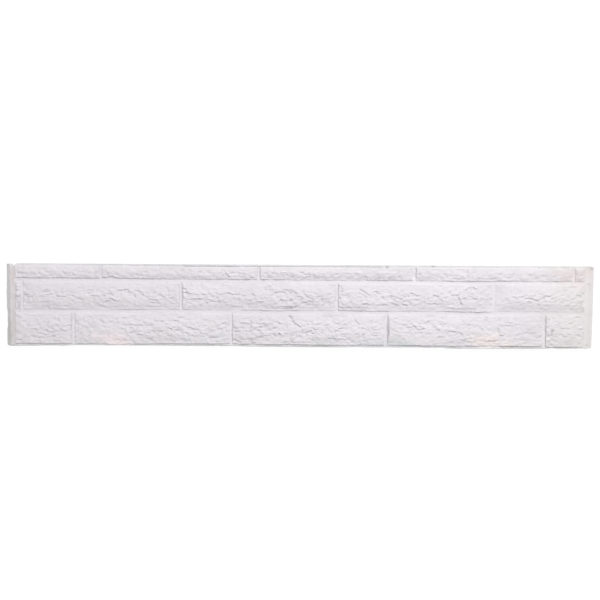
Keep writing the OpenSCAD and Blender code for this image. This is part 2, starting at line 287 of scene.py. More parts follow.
MARKS["middle", 1] = dict(
    ledges=(
        (2.7, 1,45, 6,46, 17,44), (2.9, 7,37, 15,38, 29,41), (2.7, 55,48, 62,57, 68,61, 77,62),
        (2.6, 66,46, 78,46, 93,49), (1.3, 93,62, 104,53), (1.3, 92,49, 104,53),
        (2.8, 99,44, 110,43, 116,40, 122,39, 132,41), (1.3, 131,42, 144,48),
        (2.4, 144,44, 153,44, 162,39, 175,35, 191,31), (1.2, 127,53, 138,62), (1.2, 147,28, 154,25),
        (1.2, 139,20, 151,18), (1.9, 77,11, 77,0), (1.3, 125,12, 143,12), (1.9, 202,62, 216,61),
        (2.7, 207,44, 223,44), (1.9, 227,44, 237,43), (1.3, 221,34, 232,30), (1.3, 192,17, 208,21),
        (2.0, 227,21, 238,15, 243,9, 250,7, 263,8), (2.3, 262,51, 276,49, 281,44),
        (2.8, 264,37, 276,34, 283,30, 292,28, 301,30), (1.4, 239,32, 251,29), (2.4, 251,23, 262,26, 273,27),
        (3.0, 292,58, 308,62, 322,64, 327,66), (1.3, 301,50, 313,51), (3.0, 326,66, 332,56, 337,54, 346,52),
        (2.7, 344,45, 350,43, 351,36), (3.0, 342,63, 358,61, 366,56, 373,47, 377,41), (1.4, 379,55, 393,55),
        (2.6, 381,42, 391,42), (2.7, 392,37, 402,32, 421,31), (1.9, 390,23, 400,24, 426,23),
        (2.8, 423,52, 430,46, 438,41, 445,41), (1.9, 451,38, 471,39), (1.3, 451,58, 464,61),
        (1.4, 376,11, 450,11), (1.8, 482,80, 481,50), (1.8, 480,42, 482,12),
    ),
    pits=(
        (1.8, 3,67, 3), (1.8, 3,61, 3), (1.8, 2,20, 3), (1.5, 99,15, 4), (1.9, 195,69, 3), (1.9, 203,50, 4),
        (3.2, 247,8, 5), (2.0, 252,42, 4), (1.5, 285,6, 4), (2.2, 408,52, 5), (1.8, 448,67, 4),
        (2.0, 476,46, 4), (2.0, 476,27, 4),
    ),
    knobs=((1.5, 354,53, 8,5), (1.2, 353,42, 6,4), (1.2, 352,16, 8,6), (0.9, 114,21, 5,10)),
    foot=(
        (0, 0.8, -0.8), (40, 0.8, -0.8), (70, 0.4, -0.4), (95, 0.7, -0.3), (115, 1.7, -0.3),
        (150, 1.7, -0.4), (190, 0.6, -0.9), (215, 0.3, -1), (265, 0.1, -0.5), (285, 0.3, -0.5),
        (308, 1.2, -0.5), (335, 2, -0.8), (360, 1.4, -0.3), (390, 0.8, 0), (420, 1.1, 0.8), (450, 0.5, 0.4),
        (470, 1.5, 1), (480, 1, 1),
    ),
    coarse=((1.4, 15,45, 20,25), (0.6, 180,35, 60,30), (0.6, 380,30, 90,30), (0.6, 200,10, 250,12)),
)
MARKS["middle", 2] = dict(
    ledges=(
        (3.0, 7,86, 7,16), (3.0, 6,67, 12,69, 18,64, 18,57), (2.7, 13,58, 20,53, 28,50),
        (3.0, 21,34, 32,33, 46,35, 55,36, 69,34), (1.4, 39,28, 50,27, 61,24), (2.2, 64,50, 81,50),
        (2.0, 86,51, 96,50, 105,44), (2.2, 109,43, 121,39), (1.9, 111,51, 120,49, 136,51),
        (1.6, 67,33, 75,31, 111,33), (2.6, 77,24, 87,25), (2.0, 86,27, 110,27, 116,26, 129,21),
        (1.7, 130,25, 138,24), (3.0, 146,57, 158,53, 162,50, 186,50), (1.4, 160,37, 186,38),
        (1.7, 159,12, 181,13), (2.1, 191,52, 200,47, 206,47), (1.4, 206,65, 219,60),
        (2.8, 221,56, 230,50, 234,45), (1.7, 225,38, 239,38), (2.7, 207,32, 221,32), (3.0, 241,28, 261,27),
        (1.7, 262,68, 270,66, 286,66), (2.7, 282,44, 289,53), (3.0, 289,57, 305,58, 325,57, 333,60),
        (3.0, 321,65, 335,66, 346,53), (3.0, 343,67, 356,58, 365,53), (1.3, 261,40, 281,40),
        (2.3, 310,35, 333,33), (2.8, 335,31, 341,33, 349,37), (1.4, 309,13, 336,13),
        (2.6, 341,14, 350,13, 361,14), (3.0, 361,45, 376,44, 385,33), (3.0, 385,29, 394,28, 402,31, 414,26),
        (3.0, 381,67, 388,50, 400,42, 417,36), (1.7, 391,60, 401,55), (2.0, 419,46, 435,45, 449,45),
        (2.8, 431,36, 459,37), (1.7, 432,30, 457,28), (1.9, 454,53, 469,53), (1.4, 463,20, 471,8),
        (2.4, 65,87, 68,71), (2.8, 128,88, 131,73), (1.3, 145,80, 146,75), (2.2, 262,7, 355,7),
        (2.3, 295,12, 335,11, 375,12),
    ),
    pits=(
        (2.3, 58,41, 4), (2.0, 14,27, 4), (2.9, 277,73, 4), (2.4, 256,47, 4), (1.8, 325,23, 4),
        (1.8, 355,20, 4), (2.9, 383,24, 5), (1.6, 408,60, 3), (1.6, 416,59, 3), (2.6, 461,26, 5),
        (1.8, 471,39, 4), (2.6, 422,6, 4), (1.4, 385,6, 4),
    ),
    knobs=((1.5, 11,57, 3,5), (1.8, 292,30, 12,17)),
    foot=(
        (0, 1.2, 0.5), (45, 0.8, 0.4), (62, 0, 0), (175, 0, 0), (190, 0.5, 0), (225, 1, -0.2),
        (252, 2, -0.5), (265, 3, -0.8), (285, 3, -1), (320, 2.6, -1), (345, 2.6, -0.4), (362, 2.4, 0.4),
        (375, 0.6, 0), (410, 0.2, 0), (440, 0.5, 0), (480, 0.5, 0),
    ),
    coarse=(
        (2.0, 22,48, 28,28), (0.5, 90,10, 90,14), (1.7, 130,72, 40,12), (1.8, 280,72, 50,12),
        (1.3, 380,35, 60,30),
    ),
)
MARKS["middle", 3] = dict(
    ledges=(
        (2.9, 7,44, 10,32, 12,21), (3.0, 0,80, 8,78, 13,70, 17,57), (1.7, 0,70, 5,69), (2.0, 7,11, 15,10),
        (2.7, 35,33, 46,32), (3.0, 67,70, 80,64, 92,56, 101,48), (2.1, 71,55, 84,48, 91,47),
        (2.7, 77,21, 85,22, 94,25), (3.0, 106,62, 129,61), (2.3, 119,58, 136,53),
        (2.7, 132,47, 143,43, 145,39), (1.9, 119,18, 135,20, 154,22), (3.0, 162,50, 176,49, 177,44),
        (2.4, 173,42, 175,33), (2.7, 182,45, 194,40, 205,38), (2.7, 172,26, 184,20, 191,17),
        (1.9, 189,31, 199,25), (3.6, 199,24, 214,21, 217,16), (1.7, 199,48, 226,47), (1.5, 204,37, 263,38),
        (2.7, 224,60, 238,55, 244,51), (1.7, 218,28, 229,28), (3.0, 242,50, 258,51), (2.6, 267,32, 273,30),
        (2.8, 272,24, 280,26, 295,22), (3.0, 297,26, 310,23, 321,25), (3.6, 295,52, 308,49, 317,48),
        (1.4, 279,41, 291,42), (1.9, 342,61, 353,61), (3.0, 349,53, 370,52, 379,54), (1.4, 371,60, 391,60),
        (3.0, 373,49, 381,35, 389,20), (1.3, 355,8, 386,8), (3.0, 387,41, 399,42), (3.0, 392,65, 402,70),
        (2.7, 402,73, 416,77), (3.6, 419,78, 432,70), (2.7, 413,59, 423,52), (2.4, 415,49, 421,48),
        (2.7, 419,40, 433,42), (1.4, 451,56, 463,47), (1.7, 464,30, 476,33), (1.8, 4,13, 40,12, 75,13),
        (1.4, 335,12, 400,10, 440,11),
    ),
    pits=(
        (1.7, 52,36, 4), (1.4, 30,40, 4), (1.9, 92,9, 4), (1.9, 118,45, 4), (1.9, 252,18, 4),
        (1.3, 322,79, 4), (1.9, 366,66, 4), (1.5, 361,34, 4), (1.9, 472,73, 4), (1.5, 460,17, 4),
    ),
    knobs=((1.3, 82,14, 6,4), (2.2, 184,34, 7,5), (1.9, 349,14, 10,5)),
    foot=(
        (0, 2, 0.6), (30, 2, 0.6), (50, 2.2, 0.4), (68, 2.6, -0.1), (82, 2, -0.8), (100, 2.2, -1.2),
        (155, 2, -0.7), (170, 0.8, -0.8), (200, 0.6, -0.4), (212, 0.8, -0.4), (230, 0.4, -0.4),
        (260, 1, -0.6), (290, 0.7, -0.6), (325, 0.9, -0.6), (345, 2.4, -0.4), (370, 2, -0.4),
        (388, 2.4, -1.4), (430, 3, -1.5), (450, 3.8, -1.3), (470, 3.6, -0.9), (480, 2.6, -0.9),
    ),
    coarse=(
        (1.6, 15,40, 25,30), (1.7, 130,72, 60,12), (1.3, 190,35, 40,25), (0.7, 260,55, 60,20),
        (1.6, 340,74, 50,10), (0.6, 250,10, 200,12),
    ),
)
MARKS["middle", 4] = dict(
    ledges=(
        (1.4, 27,44, 39,42), (1.4, 30,37, 46,34), (1.4, 35,30, 51,27), (1.3, 4,75, 21,73),
        (1.6, 51,51, 65,43, 73,41), (1.9, 77,46, 91,50), (3.7, 89,41, 103,44, 112,43, 122,40, 138,38),
        (2.7, 96,33, 109,34), (1.7, 61,30, 76,30), (2.0, 124,28, 132,28, 141,19), (2.7, 119,53, 127,53),
        (2.4, 149,53, 156,51, 165,49, 176,53), (2.2, 174,44, 188,43), (1.7, 186,37, 201,39),
        (1.7, 199,50, 211,54), (2.2, 130,85, 132,74), (1.9, 214,70, 223,70), (1.4, 224,75, 235,81, 249,79),
        (1.4, 249,55, 261,50), (2.7, 269,61, 275,52), (2.7, 274,34, 272,25, 268,11),
    ),
    pits=(
        (1.7, 148,43, 4), (3.2, 263,9, 4.5), (3.2, 236,7, 4.5), (1.9, 228,19, 4), (1.8, 271,57, 4),
        (1.6, 272,31, 4), (1.6, 270,22, 4), (2.0, 266,13, 4),
    ),
    knobs=((0.9, 110,34, 26,5),),
    foot=(
        (0, 0.3, 0.4), (20, 0, 0.4), (150, 0, 0.3), (180, 0.3, -0.2), (200, 0.6, -0.4), (215, 0.2, -0.2),
        (277, 0, 0),
    ),
    coarse=((0.5, 40,40, 50,35), (0.5, 130,12, 160,18), (1.4, 130,35, 40,15)),
)
MARKS["top", 0] = dict(
    ledges=(
        (1.8, 24,38, 27,32, 25,24), (2.1, 6,18, 14,18), (1.7, 23,17, 32,13), (1.7, 57,18, 67,15),
        (1.7, 104,20, 116,20), (1.9, 107,10, 121,10), (1.7, 119,17, 131,16), (2.3, 151,26, 153,20, 160,14),
        (1.2, 157,16, 180,16), (1.2, 157,10, 180,10), (1.4, 216,38, 216,22),
    ),
    pits=(
        (1.4, 50,26, 4), (2.4, 79,14, 4), (2.4, 94,27, 5), (1.2, 130,33, 5), (1.7, 190,24, 5),
        (1.4, 182,12, 4),
    ),
    knobs=((1.6, 5,14, 4,5), (1.3, 18,32, 4,5), (1.3, 95,15, 4,4), (1.5, 80,7, 7,3), (1.3, 232,22, 5,3)),
    foot=(
        (0, 3.4, 2), (25, 2.8, 1.7), (60, 2.3, 1), (95, 2, 1.1), (115, 2.3, 1.4), (135, 2, 1.9),
        (165, 2, 1.7), (178, 2.8, 1.5), (240, 2.6, 0.9), (252, 1.2, 0.4), (264, 0.8, 0),
    ),
    coarse=((1.5, 6,20, 22,26), (0.75, 130,12, 130,16)),
)
MARKS["top", 1] = dict(
    ledges=(
        (1.5, 99,16, 113,15), (1.9, 364,15, 371,22), (2.7, 385,21, 390,14, 397,5), (2.3, 405,22, 415,22),
        (1.7, 427,20, 437,20), (1.7, 454,7, 478,7), (1.5, 159,8, 181,8), (1.6, 479,34, 479,6),
    ),
    pits=((1.7, 177,24, 4), (1.7, 345,8, 5), (1.7, 418,6, 4), (1.5, 253,24, 4), (1.5, 332,19, 4)),
    knobs=((1.3, 379,16, 3,6), (1.3, 404,13, 3,2), (1.4, 404,4, 3,2), (0.9, 365,28, 5,5)),
    foot=(
        (0, 1.2, 2.2), (8, 1.2, 2.5), (15, 1.4, 5.5), (24, 1.6, 8), (32, 2, 8), (41, 2.2, 5),
        (52, 2.4, 2.4), (60, 2.2, 1), (85, 2.2, 0.6), (100, 2.4, 0.9), (120, 3, 0.7), (150, 2.2, 0.2),
        (180, 1.4, -0.3), (200, 1.2, -0.6), (220, 1, -1.6), (260, 0.8, -2.6), (300, 1.4, -2.2),
        (318, 2.2, -0.8), (328, 3, -0.5), (345, 2.4, -1.1), (385, 2.6, 0), (400, 3.4, 0.4), (430, 3, 0.2),
        (455, 2.5, -0.4), (480, 2, -0.4),
    ),
    coarse=((0.75, 240,14, 240,16), (1.5, 380,28, 90,14)),
)
MARKS["top", 2] = dict(
    ledges=(
        (1.9, 15,23, 31,21), (2.1, 35,22, 45,22), (1.8, 19,15, 28,13, 41,12), (1.7, 17,10, 26,6, 39,5),
        (2.1, 71,22, 83,22), (1.9, 83,18, 92,16, 98,11, 109,8), (1.9, 95,19, 106,14, 115,16),
        (2.3, 126,23, 139,24), (2.5, 138,18, 158,18), (2.1, 139,10, 157,10), (1.9, 140,5, 148,7),
        (2.1, 164,22, 170,15, 177,7), (1.5, 182,14, 191,10), (2.1, 235,19, 246,20), (2.3, 274,21, 287,19),
        (1.5, 321,13, 331,12), (1.7, 189,18, 206,18),
    ),
    pits=(
        (1.5, 250,8, 5), (1.7, 363,13, 5), (1.9, 383,5, 5), (2.7, 434,8, 5), (2.3, 404,2, 4),
        (1.7, 370,5, 4),
    ),
    knobs=((1.2, 30,17, 8,2), (1.4, 75,17, 4,3), (1.6, 157,24, 3,3)),
    foot=(
        (0, 3, 0.1), (18, 3.2, 0.4), (30, 2.4, -0.6), (50, 2.2, -0.8), (70, 2.4, -1.2), (110, 2, -1.6),
        (130, 1.4, -1.8), (190, 1.4, -1.8), (210, 1.6, -1.8), (235, 1.2, -1.8), (255, 0.9, -1.8),
        (275, 0.8, -1.8), (325, 0.8, -1.9), (345, 1.8, -1.2), (375, 3.4, -0.2), (395, 3.2, -0.4),
        (406, 1.4, -1), (430, 1.8, -0.9), (455, 2, -1.5), (480, 1.2, -1.6),
    ),
    coarse=((0.8, 240,12, 240,14), (1.3, 410,30, 60,12)),
)
MARKS["top", 3] = dict(
    ledges=(
        (1.7, 99,17, 120,17, 132,14, 140,12, 149,5), (2.3, 121,10, 126,5, 135,4),
        (2.4, 156,38, 158,20, 160,3), (1.5, 75,7, 78,1), (1.5, 45,35, 67,35), (1.5, 119,35, 146,35),
        (1.7, 269,17, 274,12, 285,10, 295,12), (1.7, 274,18, 285,20, 294,17), (1.2, 183,7, 241,7),
    ),
    pits=(
        (2.9, 7,18, 5), (2.0, 5,2, 5), (1.9, 69,29, 4), (2.7, 75,10, 4), (1.9, 92,10, 5), (1.5, 245,5, 5),
        (1.5, 258,20, 5), (1.9, 298,18, 4), (1.5, 350,18, 4), (2.0, 369,8, 4), (1.9, 390,15, 5),
        (1.5, 400,13, 4), (1.7, 475,12, 4),
    ),
    knobs=((1.3, 285,14, 7,2), (1.2, 135,9, 4,3)),
    foot=(
        (0, 1.8, -1.6), (40, 1.2, -2), (60, 0.7, -1.9), (90, 1.6, -1.8), (110, 2.8, -1.9), (135, 3.4, -1.8),
        (158, 3.4, -1.9), (205, 2.8, -1.9), (235, 2.4, -1.5), (250, 3, -0.8), (275, 3, -0.8),
        (320, 1.6, -1.5), (360, 1.4, -1.8), (405, 1.7, -2), (425, 1.9, -1.6), (450, 2, -1.2),
        (470, 1.5, -1.1), (480, 1.2, -1.1),
    ),
    coarse=((0.6, 300,12, 180,14),),
)
MARKS["top", 4] = dict(
    ledges=((1.9, 6,31, 6,20, 9,7),),
    pits=((2.0, 17,16, 5), (2.4, 1,27, 3)),
    knobs=((1.2, 17,4, 5,3), (0.9, 25,10, 3,6)),
    foot=((0, 1.6, -1.6), (8, 1.1, -1.8), (14, 0.4, -1.8), (31, 0.1, -1.8)),
)

# Height of each stone's left and right arris above the joint
END_ARRISES = {
    "bottom": ((4.6, 5.2), (5.0, 1.2), (6.2, 4.8), (7.0, 4.0), (5.4, 1.5)),
    "middle": ((2.4, 3.2), (1.8, 4.4), (5.6, 1.6), (6.6, 1.6), (1.0, 3.4)),
    "top": ((3.4, 4.2), (5.2, 4.6), (6.0, 2.6), (6.4, 3.4), (3.4, 1.0)),
}

# Where the mould left a proud lip along the top edge: its two ends and its height
LIPS = ((380, 560, 1.4), (550, 745, 4.4), (730, 1190, 2.4))

# Knocks in the rim of the top edge: depth, middle and radius
RIM_KNOCKS = ((3.4, 1194, 253, 5), (2.6, 1337, 257, 4), (1.2, 1337, 252, 9))

# How far the worn bottom arris stands back: place along the edge and depth
BOTTOM_WEAR = (
    (0, 3.6), (5, 1.4), (40, 0.4), (100, 0.8), (150, 2.2), (190, 3.0), (300, 4.2), (550, 4.6),
    (700, 4.2), (800, 2.8), (980, 2.2), (1080, 3.2), (1180, 3.4), (1300, 3.6),
    (1368, 3.6), (1386, 0.6), (1450, 0.2), (1600, 0.8), (1700, 2.6), (1800, 3.4), (1835, 3.2), (1840, 5),
)

# How far the worn ends stand back: place up the end and depth
LEFT_WEAR = (
    (0, 3.4), (3, 1.9), (8, 1.5), (35, 1.5), (60, 3.2), (82, 4.2), (114, 3.6), (122, 1.2),
    (145, 0.8), (185, 1.3), (238, 2.7), (260, 1.8),
)
RIGHT_WEAR = ((0, 1.6), (60, 1.0), (150, 0.0), (260, 0.0))

# ---------------------------------------------------------------- noise and curves


def ease(t):
    """From 0 to 1 with a level start and end."""
    t = np.clip(t, 0.0, 1.0)
    return t * t * (3.0 - 2.0 * t)


def rounded(t):
    """From 0 to 1 with a steep start and a level end."""
    return np.sin(np.clip(t, 0.0, 1.0) * math.pi / 2)


def blend(a, b, t):
    """From a to b as t goes from 0 to 1."""
    return a + (b - a) * t


def listed(places, table):
    """What a table of places and values gives at other places, in straight lines."""
    return np.interp(places, *np.array(table).T)


def dent(away_x, away_y, radius):
    """A round hollow, 1 deep."""
    return np.exp(-((away_x**2 + away_y**2) / (0.75 * radius**2)))


def wander(x, y, cell_x, cell_y, seed):
    """Smooth random values from -1 to 1 that change about every cell."""
    values = np.random.default_rng(seed).uniform(-1.0, 1.0, (512, 256))
    i, j = np.floor(x / cell_x).astype(int), np.floor(y / cell_y).astype(int)
    s, t = ease(x / cell_x - i), ease(y / cell_y - j)
    i, j, i1, j1 = i % 512, j % 256, (i + 1) % 512, (j + 1) % 256
    low = blend(values[i, j], values[i1, j], s)
    high = blend(values[i, j1], values[i1, j1], s)
    return blend(low, high, t)


def broken(x, y, cell_x, cell_y, octaves, seed):
    """wander() at several sizes on top of each other, each half the last."""
    total = np.zeros_like(x)
    for k in range(octaves):
        total += wander(x, y, cell_x / 2**k, cell_y / 2**k, seed + k) / 2**k
    return total


def creased(x, y, cell_x, cell_y, octaves, seed):
    """Like broken(), but with sharp creases between rounded lumps."""
    total = np.zeros_like(x)
    for k in range(octaves):
        total += (abs(wander(x, y, cell_x / 2**k, cell_y / 2**k, seed + k)) - 0.4) / 2**k
    return total


def chips(x, y, cell_x, cell_y, tilt, seed):
    """Flat tilted facets, each with its own small step to its neighbours, as rock splits."""
    rng = np.random.default_rng(seed)
    middle = rng.uniform(0.15, 0.85, (256, 256, 2))
    slope = rng.uniform(-tilt, tilt, (256, 256, 2))
    level = rng.uniform(-1.0, 1.0, (256, 256))
    u, v = x / cell_x, y / cell_y
    i0, j0 = np.floor(u).astype(int), np.floor(v).astype(int)
    nearest = np.full(x.shape, np.inf)
    height = np.zeros_like(x)
    for di in (-1, 0, 1):
        for dj in (-1, 0, 1):
            i, j = i0 + di, j0 + dj
            a, b = i % 256, j % 256
            du, dv = u - i - middle[a, b, 0], v - j - middle[a, b, 1]
            near = du * du + dv * dv
            plane = level[a, b] + slope[a, b, 0] * du + slope[a, b, 1] * dv
            closer = near < nearest
            nearest = np.where(closer, near, nearest)
            height = np.where(closer, plane, height)
    return height


def strata(x, y, period, seed):
    """Thin layers that crop out as low steps: from below, a short steep rise to each layer
    and then a long gentle fall."""
    bent = y + 0.45 * period * broken(x, y, 5.0 * period, 2.0 * period, 3, seed)
    turns = bent / period + wander(x, y, 9.0 * period, ENDLESS, seed + 5)
    part = turns - np.floor(turns)
    return np.minimum(part / 0.16, (1.0 - part) / 0.84)


def along(x, y, points):
    """For each place: its distance from a line through the points, positive on the line's
    right-hand side, and its share of the way along the line."""
    steps = np.diff(points, axis=0)
    lengths = np.hypot(steps[:, 0], steps[:, 1])
    starts = np.concatenate(([0.0], np.cumsum(lengths)))
    best = np.full(x.shape, np.inf)
    side = np.zeros_like(x)
    share = np.zeros_like(x)
    for (px, py), (sx, sy), length, start in zip(points[:-1], steps, lengths, starts):
        t = np.clip(((x - px) * sx + (y - py) * sy) / length**2, 0.0, 1.0)
        dx, dy = x - px - t * sx, y - py - t * sy
        away = np.hypot(dx, dy)
        closer = away < best
        best = np.where(closer, away, best)
        right = (dx * sy - dy * sx) > 0
        side = np.where(closer, np.where(right, 1.0, -1.0), side)
        share = np.where(closer, (start + t * length) / starts[-1], share)
    return best * side, share


# ---------------------------------------------------------------- the stones' relief


def joints(course):
    """Each of a course's joints: its even middle, and its left and right edges as cast."""
    parted = []
    for k, (shift, width) in enumerate(course.joints):
        middle = course.first_joint + k * (STONE_L + JOINT)
        parted.append((middle, middle + shift - width / 2, middle + shift + width / 2))
    return parted


def laid_stones():
    """Every stone of the plate, course by course."""
    made = []
    for course in COURSES:
        parted = joints(course)
        origins = [RIGHT_MARGIN] + [middle + JOINT / 2 for middle, _, _ in parted]
        lefts = [LEFT_MARGIN] + [right for _, _, right in parted]
        rights = [left for _, left, _ in parted] + [LENGTH - RIGHT_MARGIN]
        for k, (origin, left, right) in enumerate(zip(origins, lefts, rights)):
            head = course.foot + course.height
            marks, arrises = MARKS[course.name, k], END_ARRISES[course.name][k]
            seed = course.seed + 7 * k
            made.append(Stone(course, origin, left, right, course.foot, head, marks, arrises, seed))
    return made


STONES = laid_stones()


def foot_line(course, x):
    """Height of a course's lower edge above the joint, and how far the edge is lifted."""
    places, heights, lifts = [], [], []
    for stone in STONES:
        if stone.course is course:
            for u, height, lift in stone.marks["foot"]:
                places.append(min(max(stone.origin + u, stone.left), stone.right))
                heights.append(height)
                lifts.append(lift)
    waver = 0.3 * wander(x, x * 0, 11.0, 1.0, course.seed + 60)
    return np.interp(x, places, heights), np.interp(x, places, lifts) + waver


def sunk_by_ledges(u, v, ledges):
    """How far ledges lower a face: most at the foot of each drop, with a low lip above it."""
    depth = np.zeros_like(u)
    for drop, *flat in ledges:
        points = np.array(flat, float).reshape(-1, 2)
        low, high = points.min(axis=0) - LEDGE_REACH, points.max(axis=0) + LEDGE_REACH
        near = (u > low[0]) & (u < high[0]) & (v > low[1]) & (v < high[1])
        away, share = along(u[near], v[near], points)
        taper = ease(np.minimum(share, 1.0 - share) * LEDGE_ENDS)
        below = np.maximum(away, 0.0)
        below = 0.7 * np.exp(-below / SCARP) + 0.3 * np.exp(-below / APRON)
        above = np.exp(np.minimum(away, 0.0) / BROW)
        step = ease((away + LEDGE_STEP / 2) / LEDGE_STEP)
        depth[near] += drop * taper * blend(-0.46 * above, 0.95 * below, step)
    return depth


def small_ledges(width, height, course, seed):
    """Short low ledges strewn over the rough part of a stone."""
    rng = np.random.default_rng(seed)
    strewn = []
    for _ in range(int(width * height / LEDGE_PLOT)):
        u = rng.uniform(4, width - 4)
        v = height * rng.triangular(0.03, 0.4, course.calm_from + 0.06)
        run, turn, bend = rng.uniform(5, 17), rng.normal(0.0, 0.7), rng.uniform(-2.0, 2.0)
        across, up = math.cos(turn) * run / 2, math.sin(turn) * run / 2
        drop = rng.uniform(0.5, 1.3)
        strewn.append((drop, u - across, v - up, u, v + bend, u + across, v + up))
    return strewn


def small_pits(width, height, seed):
    """Small hollows strewn over a stone, where grains broke out."""
    rng = np.random.default_rng(seed)
    strewn = []
    for _ in range(int(width * height / PIT_PLOT)):
        u, v = rng.uniform(3, width - 3), height * rng.triangular(0.04, 0.45, 0.98)
        strewn.append((rng.uniform(0.4, 1.5), u, v, rng.uniform(2.2, 3.4)))
    return strewn


def split_face(x, y, stone):
    """Height of a stone's split face above the joints."""
    course, seed = stone.course, stone.seed
    width, height = stone.right - stone.left, course.height
    u, v = x - stone.origin, y - stone.foot
    bent_u = u + 1.3 * broken(x, y, 12.0, 10.0, 2, seed + 1)
    bent_v = v + 1.1 * broken(x, y, 12.0, 8.0, 2, seed + 2)
    foot_high, lift = foot_line(course, x)

    share = v / height
    crest = height * (course.crest + 0.07 * wander(x, y, 80.0, ENDLESS, seed + 3))
    crown = course.crown + 0.5 * wander(x, y, 110.0, ENDLESS, seed + 6)
    from_head = np.maximum(height - v, 0.0)
    upper = UPPER_ARRIS + ARRIS_ROUND * (1.0 - np.exp(-from_head / 4.0))
    upper += (crown - (UPPER_ARRIS + ARRIS_ROUND)) * rounded(from_head / (height - crest))
    lower = blend(foot_high, crown, rounded(v / crest))
    face = np.where(v > crest, upper, lower)
    for away, arris in zip((x - stone.left, stone.right - x), stone.arrises):
        run = min(END_RUN * (1.0 + 0.5 * max(6.0 - arris, 0.0)), 0.7 * width)
        face = blend(np.minimum(face, arris), face, rounded(away / run))

    # How rough the split is: calm near the head and the foot, and coarse in its patches
    calm = ease((share - course.calm_from + CALM_RUN / 2) / CALM_RUN)
    rough = blend(1.0, 0.4, calm) * blend(0.6, 1.0, ease(share / CALM_RUN))
    coarse = np.ones_like(x)
    for gain, mid_u, mid_v, half_u, half_v in stone.marks.get("coarse", ()):
        coarse += (gain - 1.0) * ease(1.3 - np.hypot((u - mid_u) / half_u, (v - mid_v) / half_v))
    rough = rough * np.maximum(coarse, 0.1)

    patch = ease(wander(x, y, 48.0, 24.0, seed + 7) + 0.55)
    thick = strata(bent_u, bent_v, 11.5, seed + 13) - 0.5
    thin = strata(bent_u, bent_v, 5.8, seed + 23) - 0.5
    face += rough * patch * THICK_LAYERS * thick
    face += rough * blend(0.5, 1.0, patch) * THIN_LAYERS * thin
    face += rough * LARGE_CHIPS * chips(bent_u, bent_v, 17.0, 13.0, 1.4, seed + 8)
    face += rough * SMALL_CHIPS * chips(bent_u, bent_v, 8.0, 7.0, 1.2, seed + 9)
    face += blend(0.3, 1.0, rough) * CREASES * creased(bent_u, bent_v, 16.0, 12.0, 3, seed + 10)
    face += GRIT * broken(x, y, 6.0, 4.5, 2, seed + 12)
    face += SWELLS * broken(x, y, 70.0, 34.0, 2, seed + 15)
    face += FOOT_ROLL * np.exp(-(((v - lift - 2.8) / 2.4) ** 2))

    face -= sunk_by_ledges(bent_u, bent_v, stone.marks["ledges"])
    strewn = sunk_by_ledges(bent_u, bent_v, small_ledges(width, height, course, seed + 30))
    face -= np.minimum(coarse, 1.6) * strewn
    pits = (*stone.marks["pits"], *small_pits(width, height, seed + 40))
    for depth, pit_u, pit_v, radius in pits:
        face -= depth * dent(bent_u - pit_u, bent_v - pit_v, radius)
    for proud, knob_u, knob_v, half_u, half_v in stone.marks["knobs"]:
        inward = 1.0 - ((bent_u - knob_u) / half_u) ** 2 - ((bent_v - knob_v) / half_v) ** 2
        face += proud * ease(inward)
    return np.maximum(face, 0.4)


def flanks(x, y, stone):
    """How high a stone may rise at each place, from its outline inwards."""
    nibble = 0.4 * broken(x, y, 9.0, 9.0, 2, stone.seed + 20)
    _, lift = foot_line(stone.course, x)
    lower = (y - stone.foot - lift + 0.3 * nibble) / LOWER_LEAN * LOWER_FLANK
    upper = (stone.head - y + 0.6 * nibble) / UPPER_LEAN * UPPER_FLANK
    left = (x - stone.left + nibble) / LEFT_LEAN * END_FLANK
    right = (stone.right - x + 0.5 * nibble) / RIGHT_LEAN * END_FLANK
    return np.maximum(np.minimum(np.minimum(lower, upper), np.minimum(left, right)), 0.0)


def mould_bed(x, y):
    """The level of joints and margins: smooth from the mould, a little uneven."""
    uneven = 0.2 * broken(x, y, 26.0, 12.0, 2, 31) + 0.08 * broken(x, y, 6.0, 4.0, 2, 33)
    return BED - SUNK + uneven


def margin_swell(x, y):
    """The left margin stands a little above the joints, with drag marks along the end."""
    marks = 0.45 * wander(x, y, 4.5, 42.0, 35) + 0.4 * broken(x, y, 9.0, 16.0, 2, 36)
    swell = SWELL * ease((x - SWELL_FROM) / SWELL_RUN) + marks
    return np.where(x < LEFT_MARGIN + 0.1, swell, 0.0)


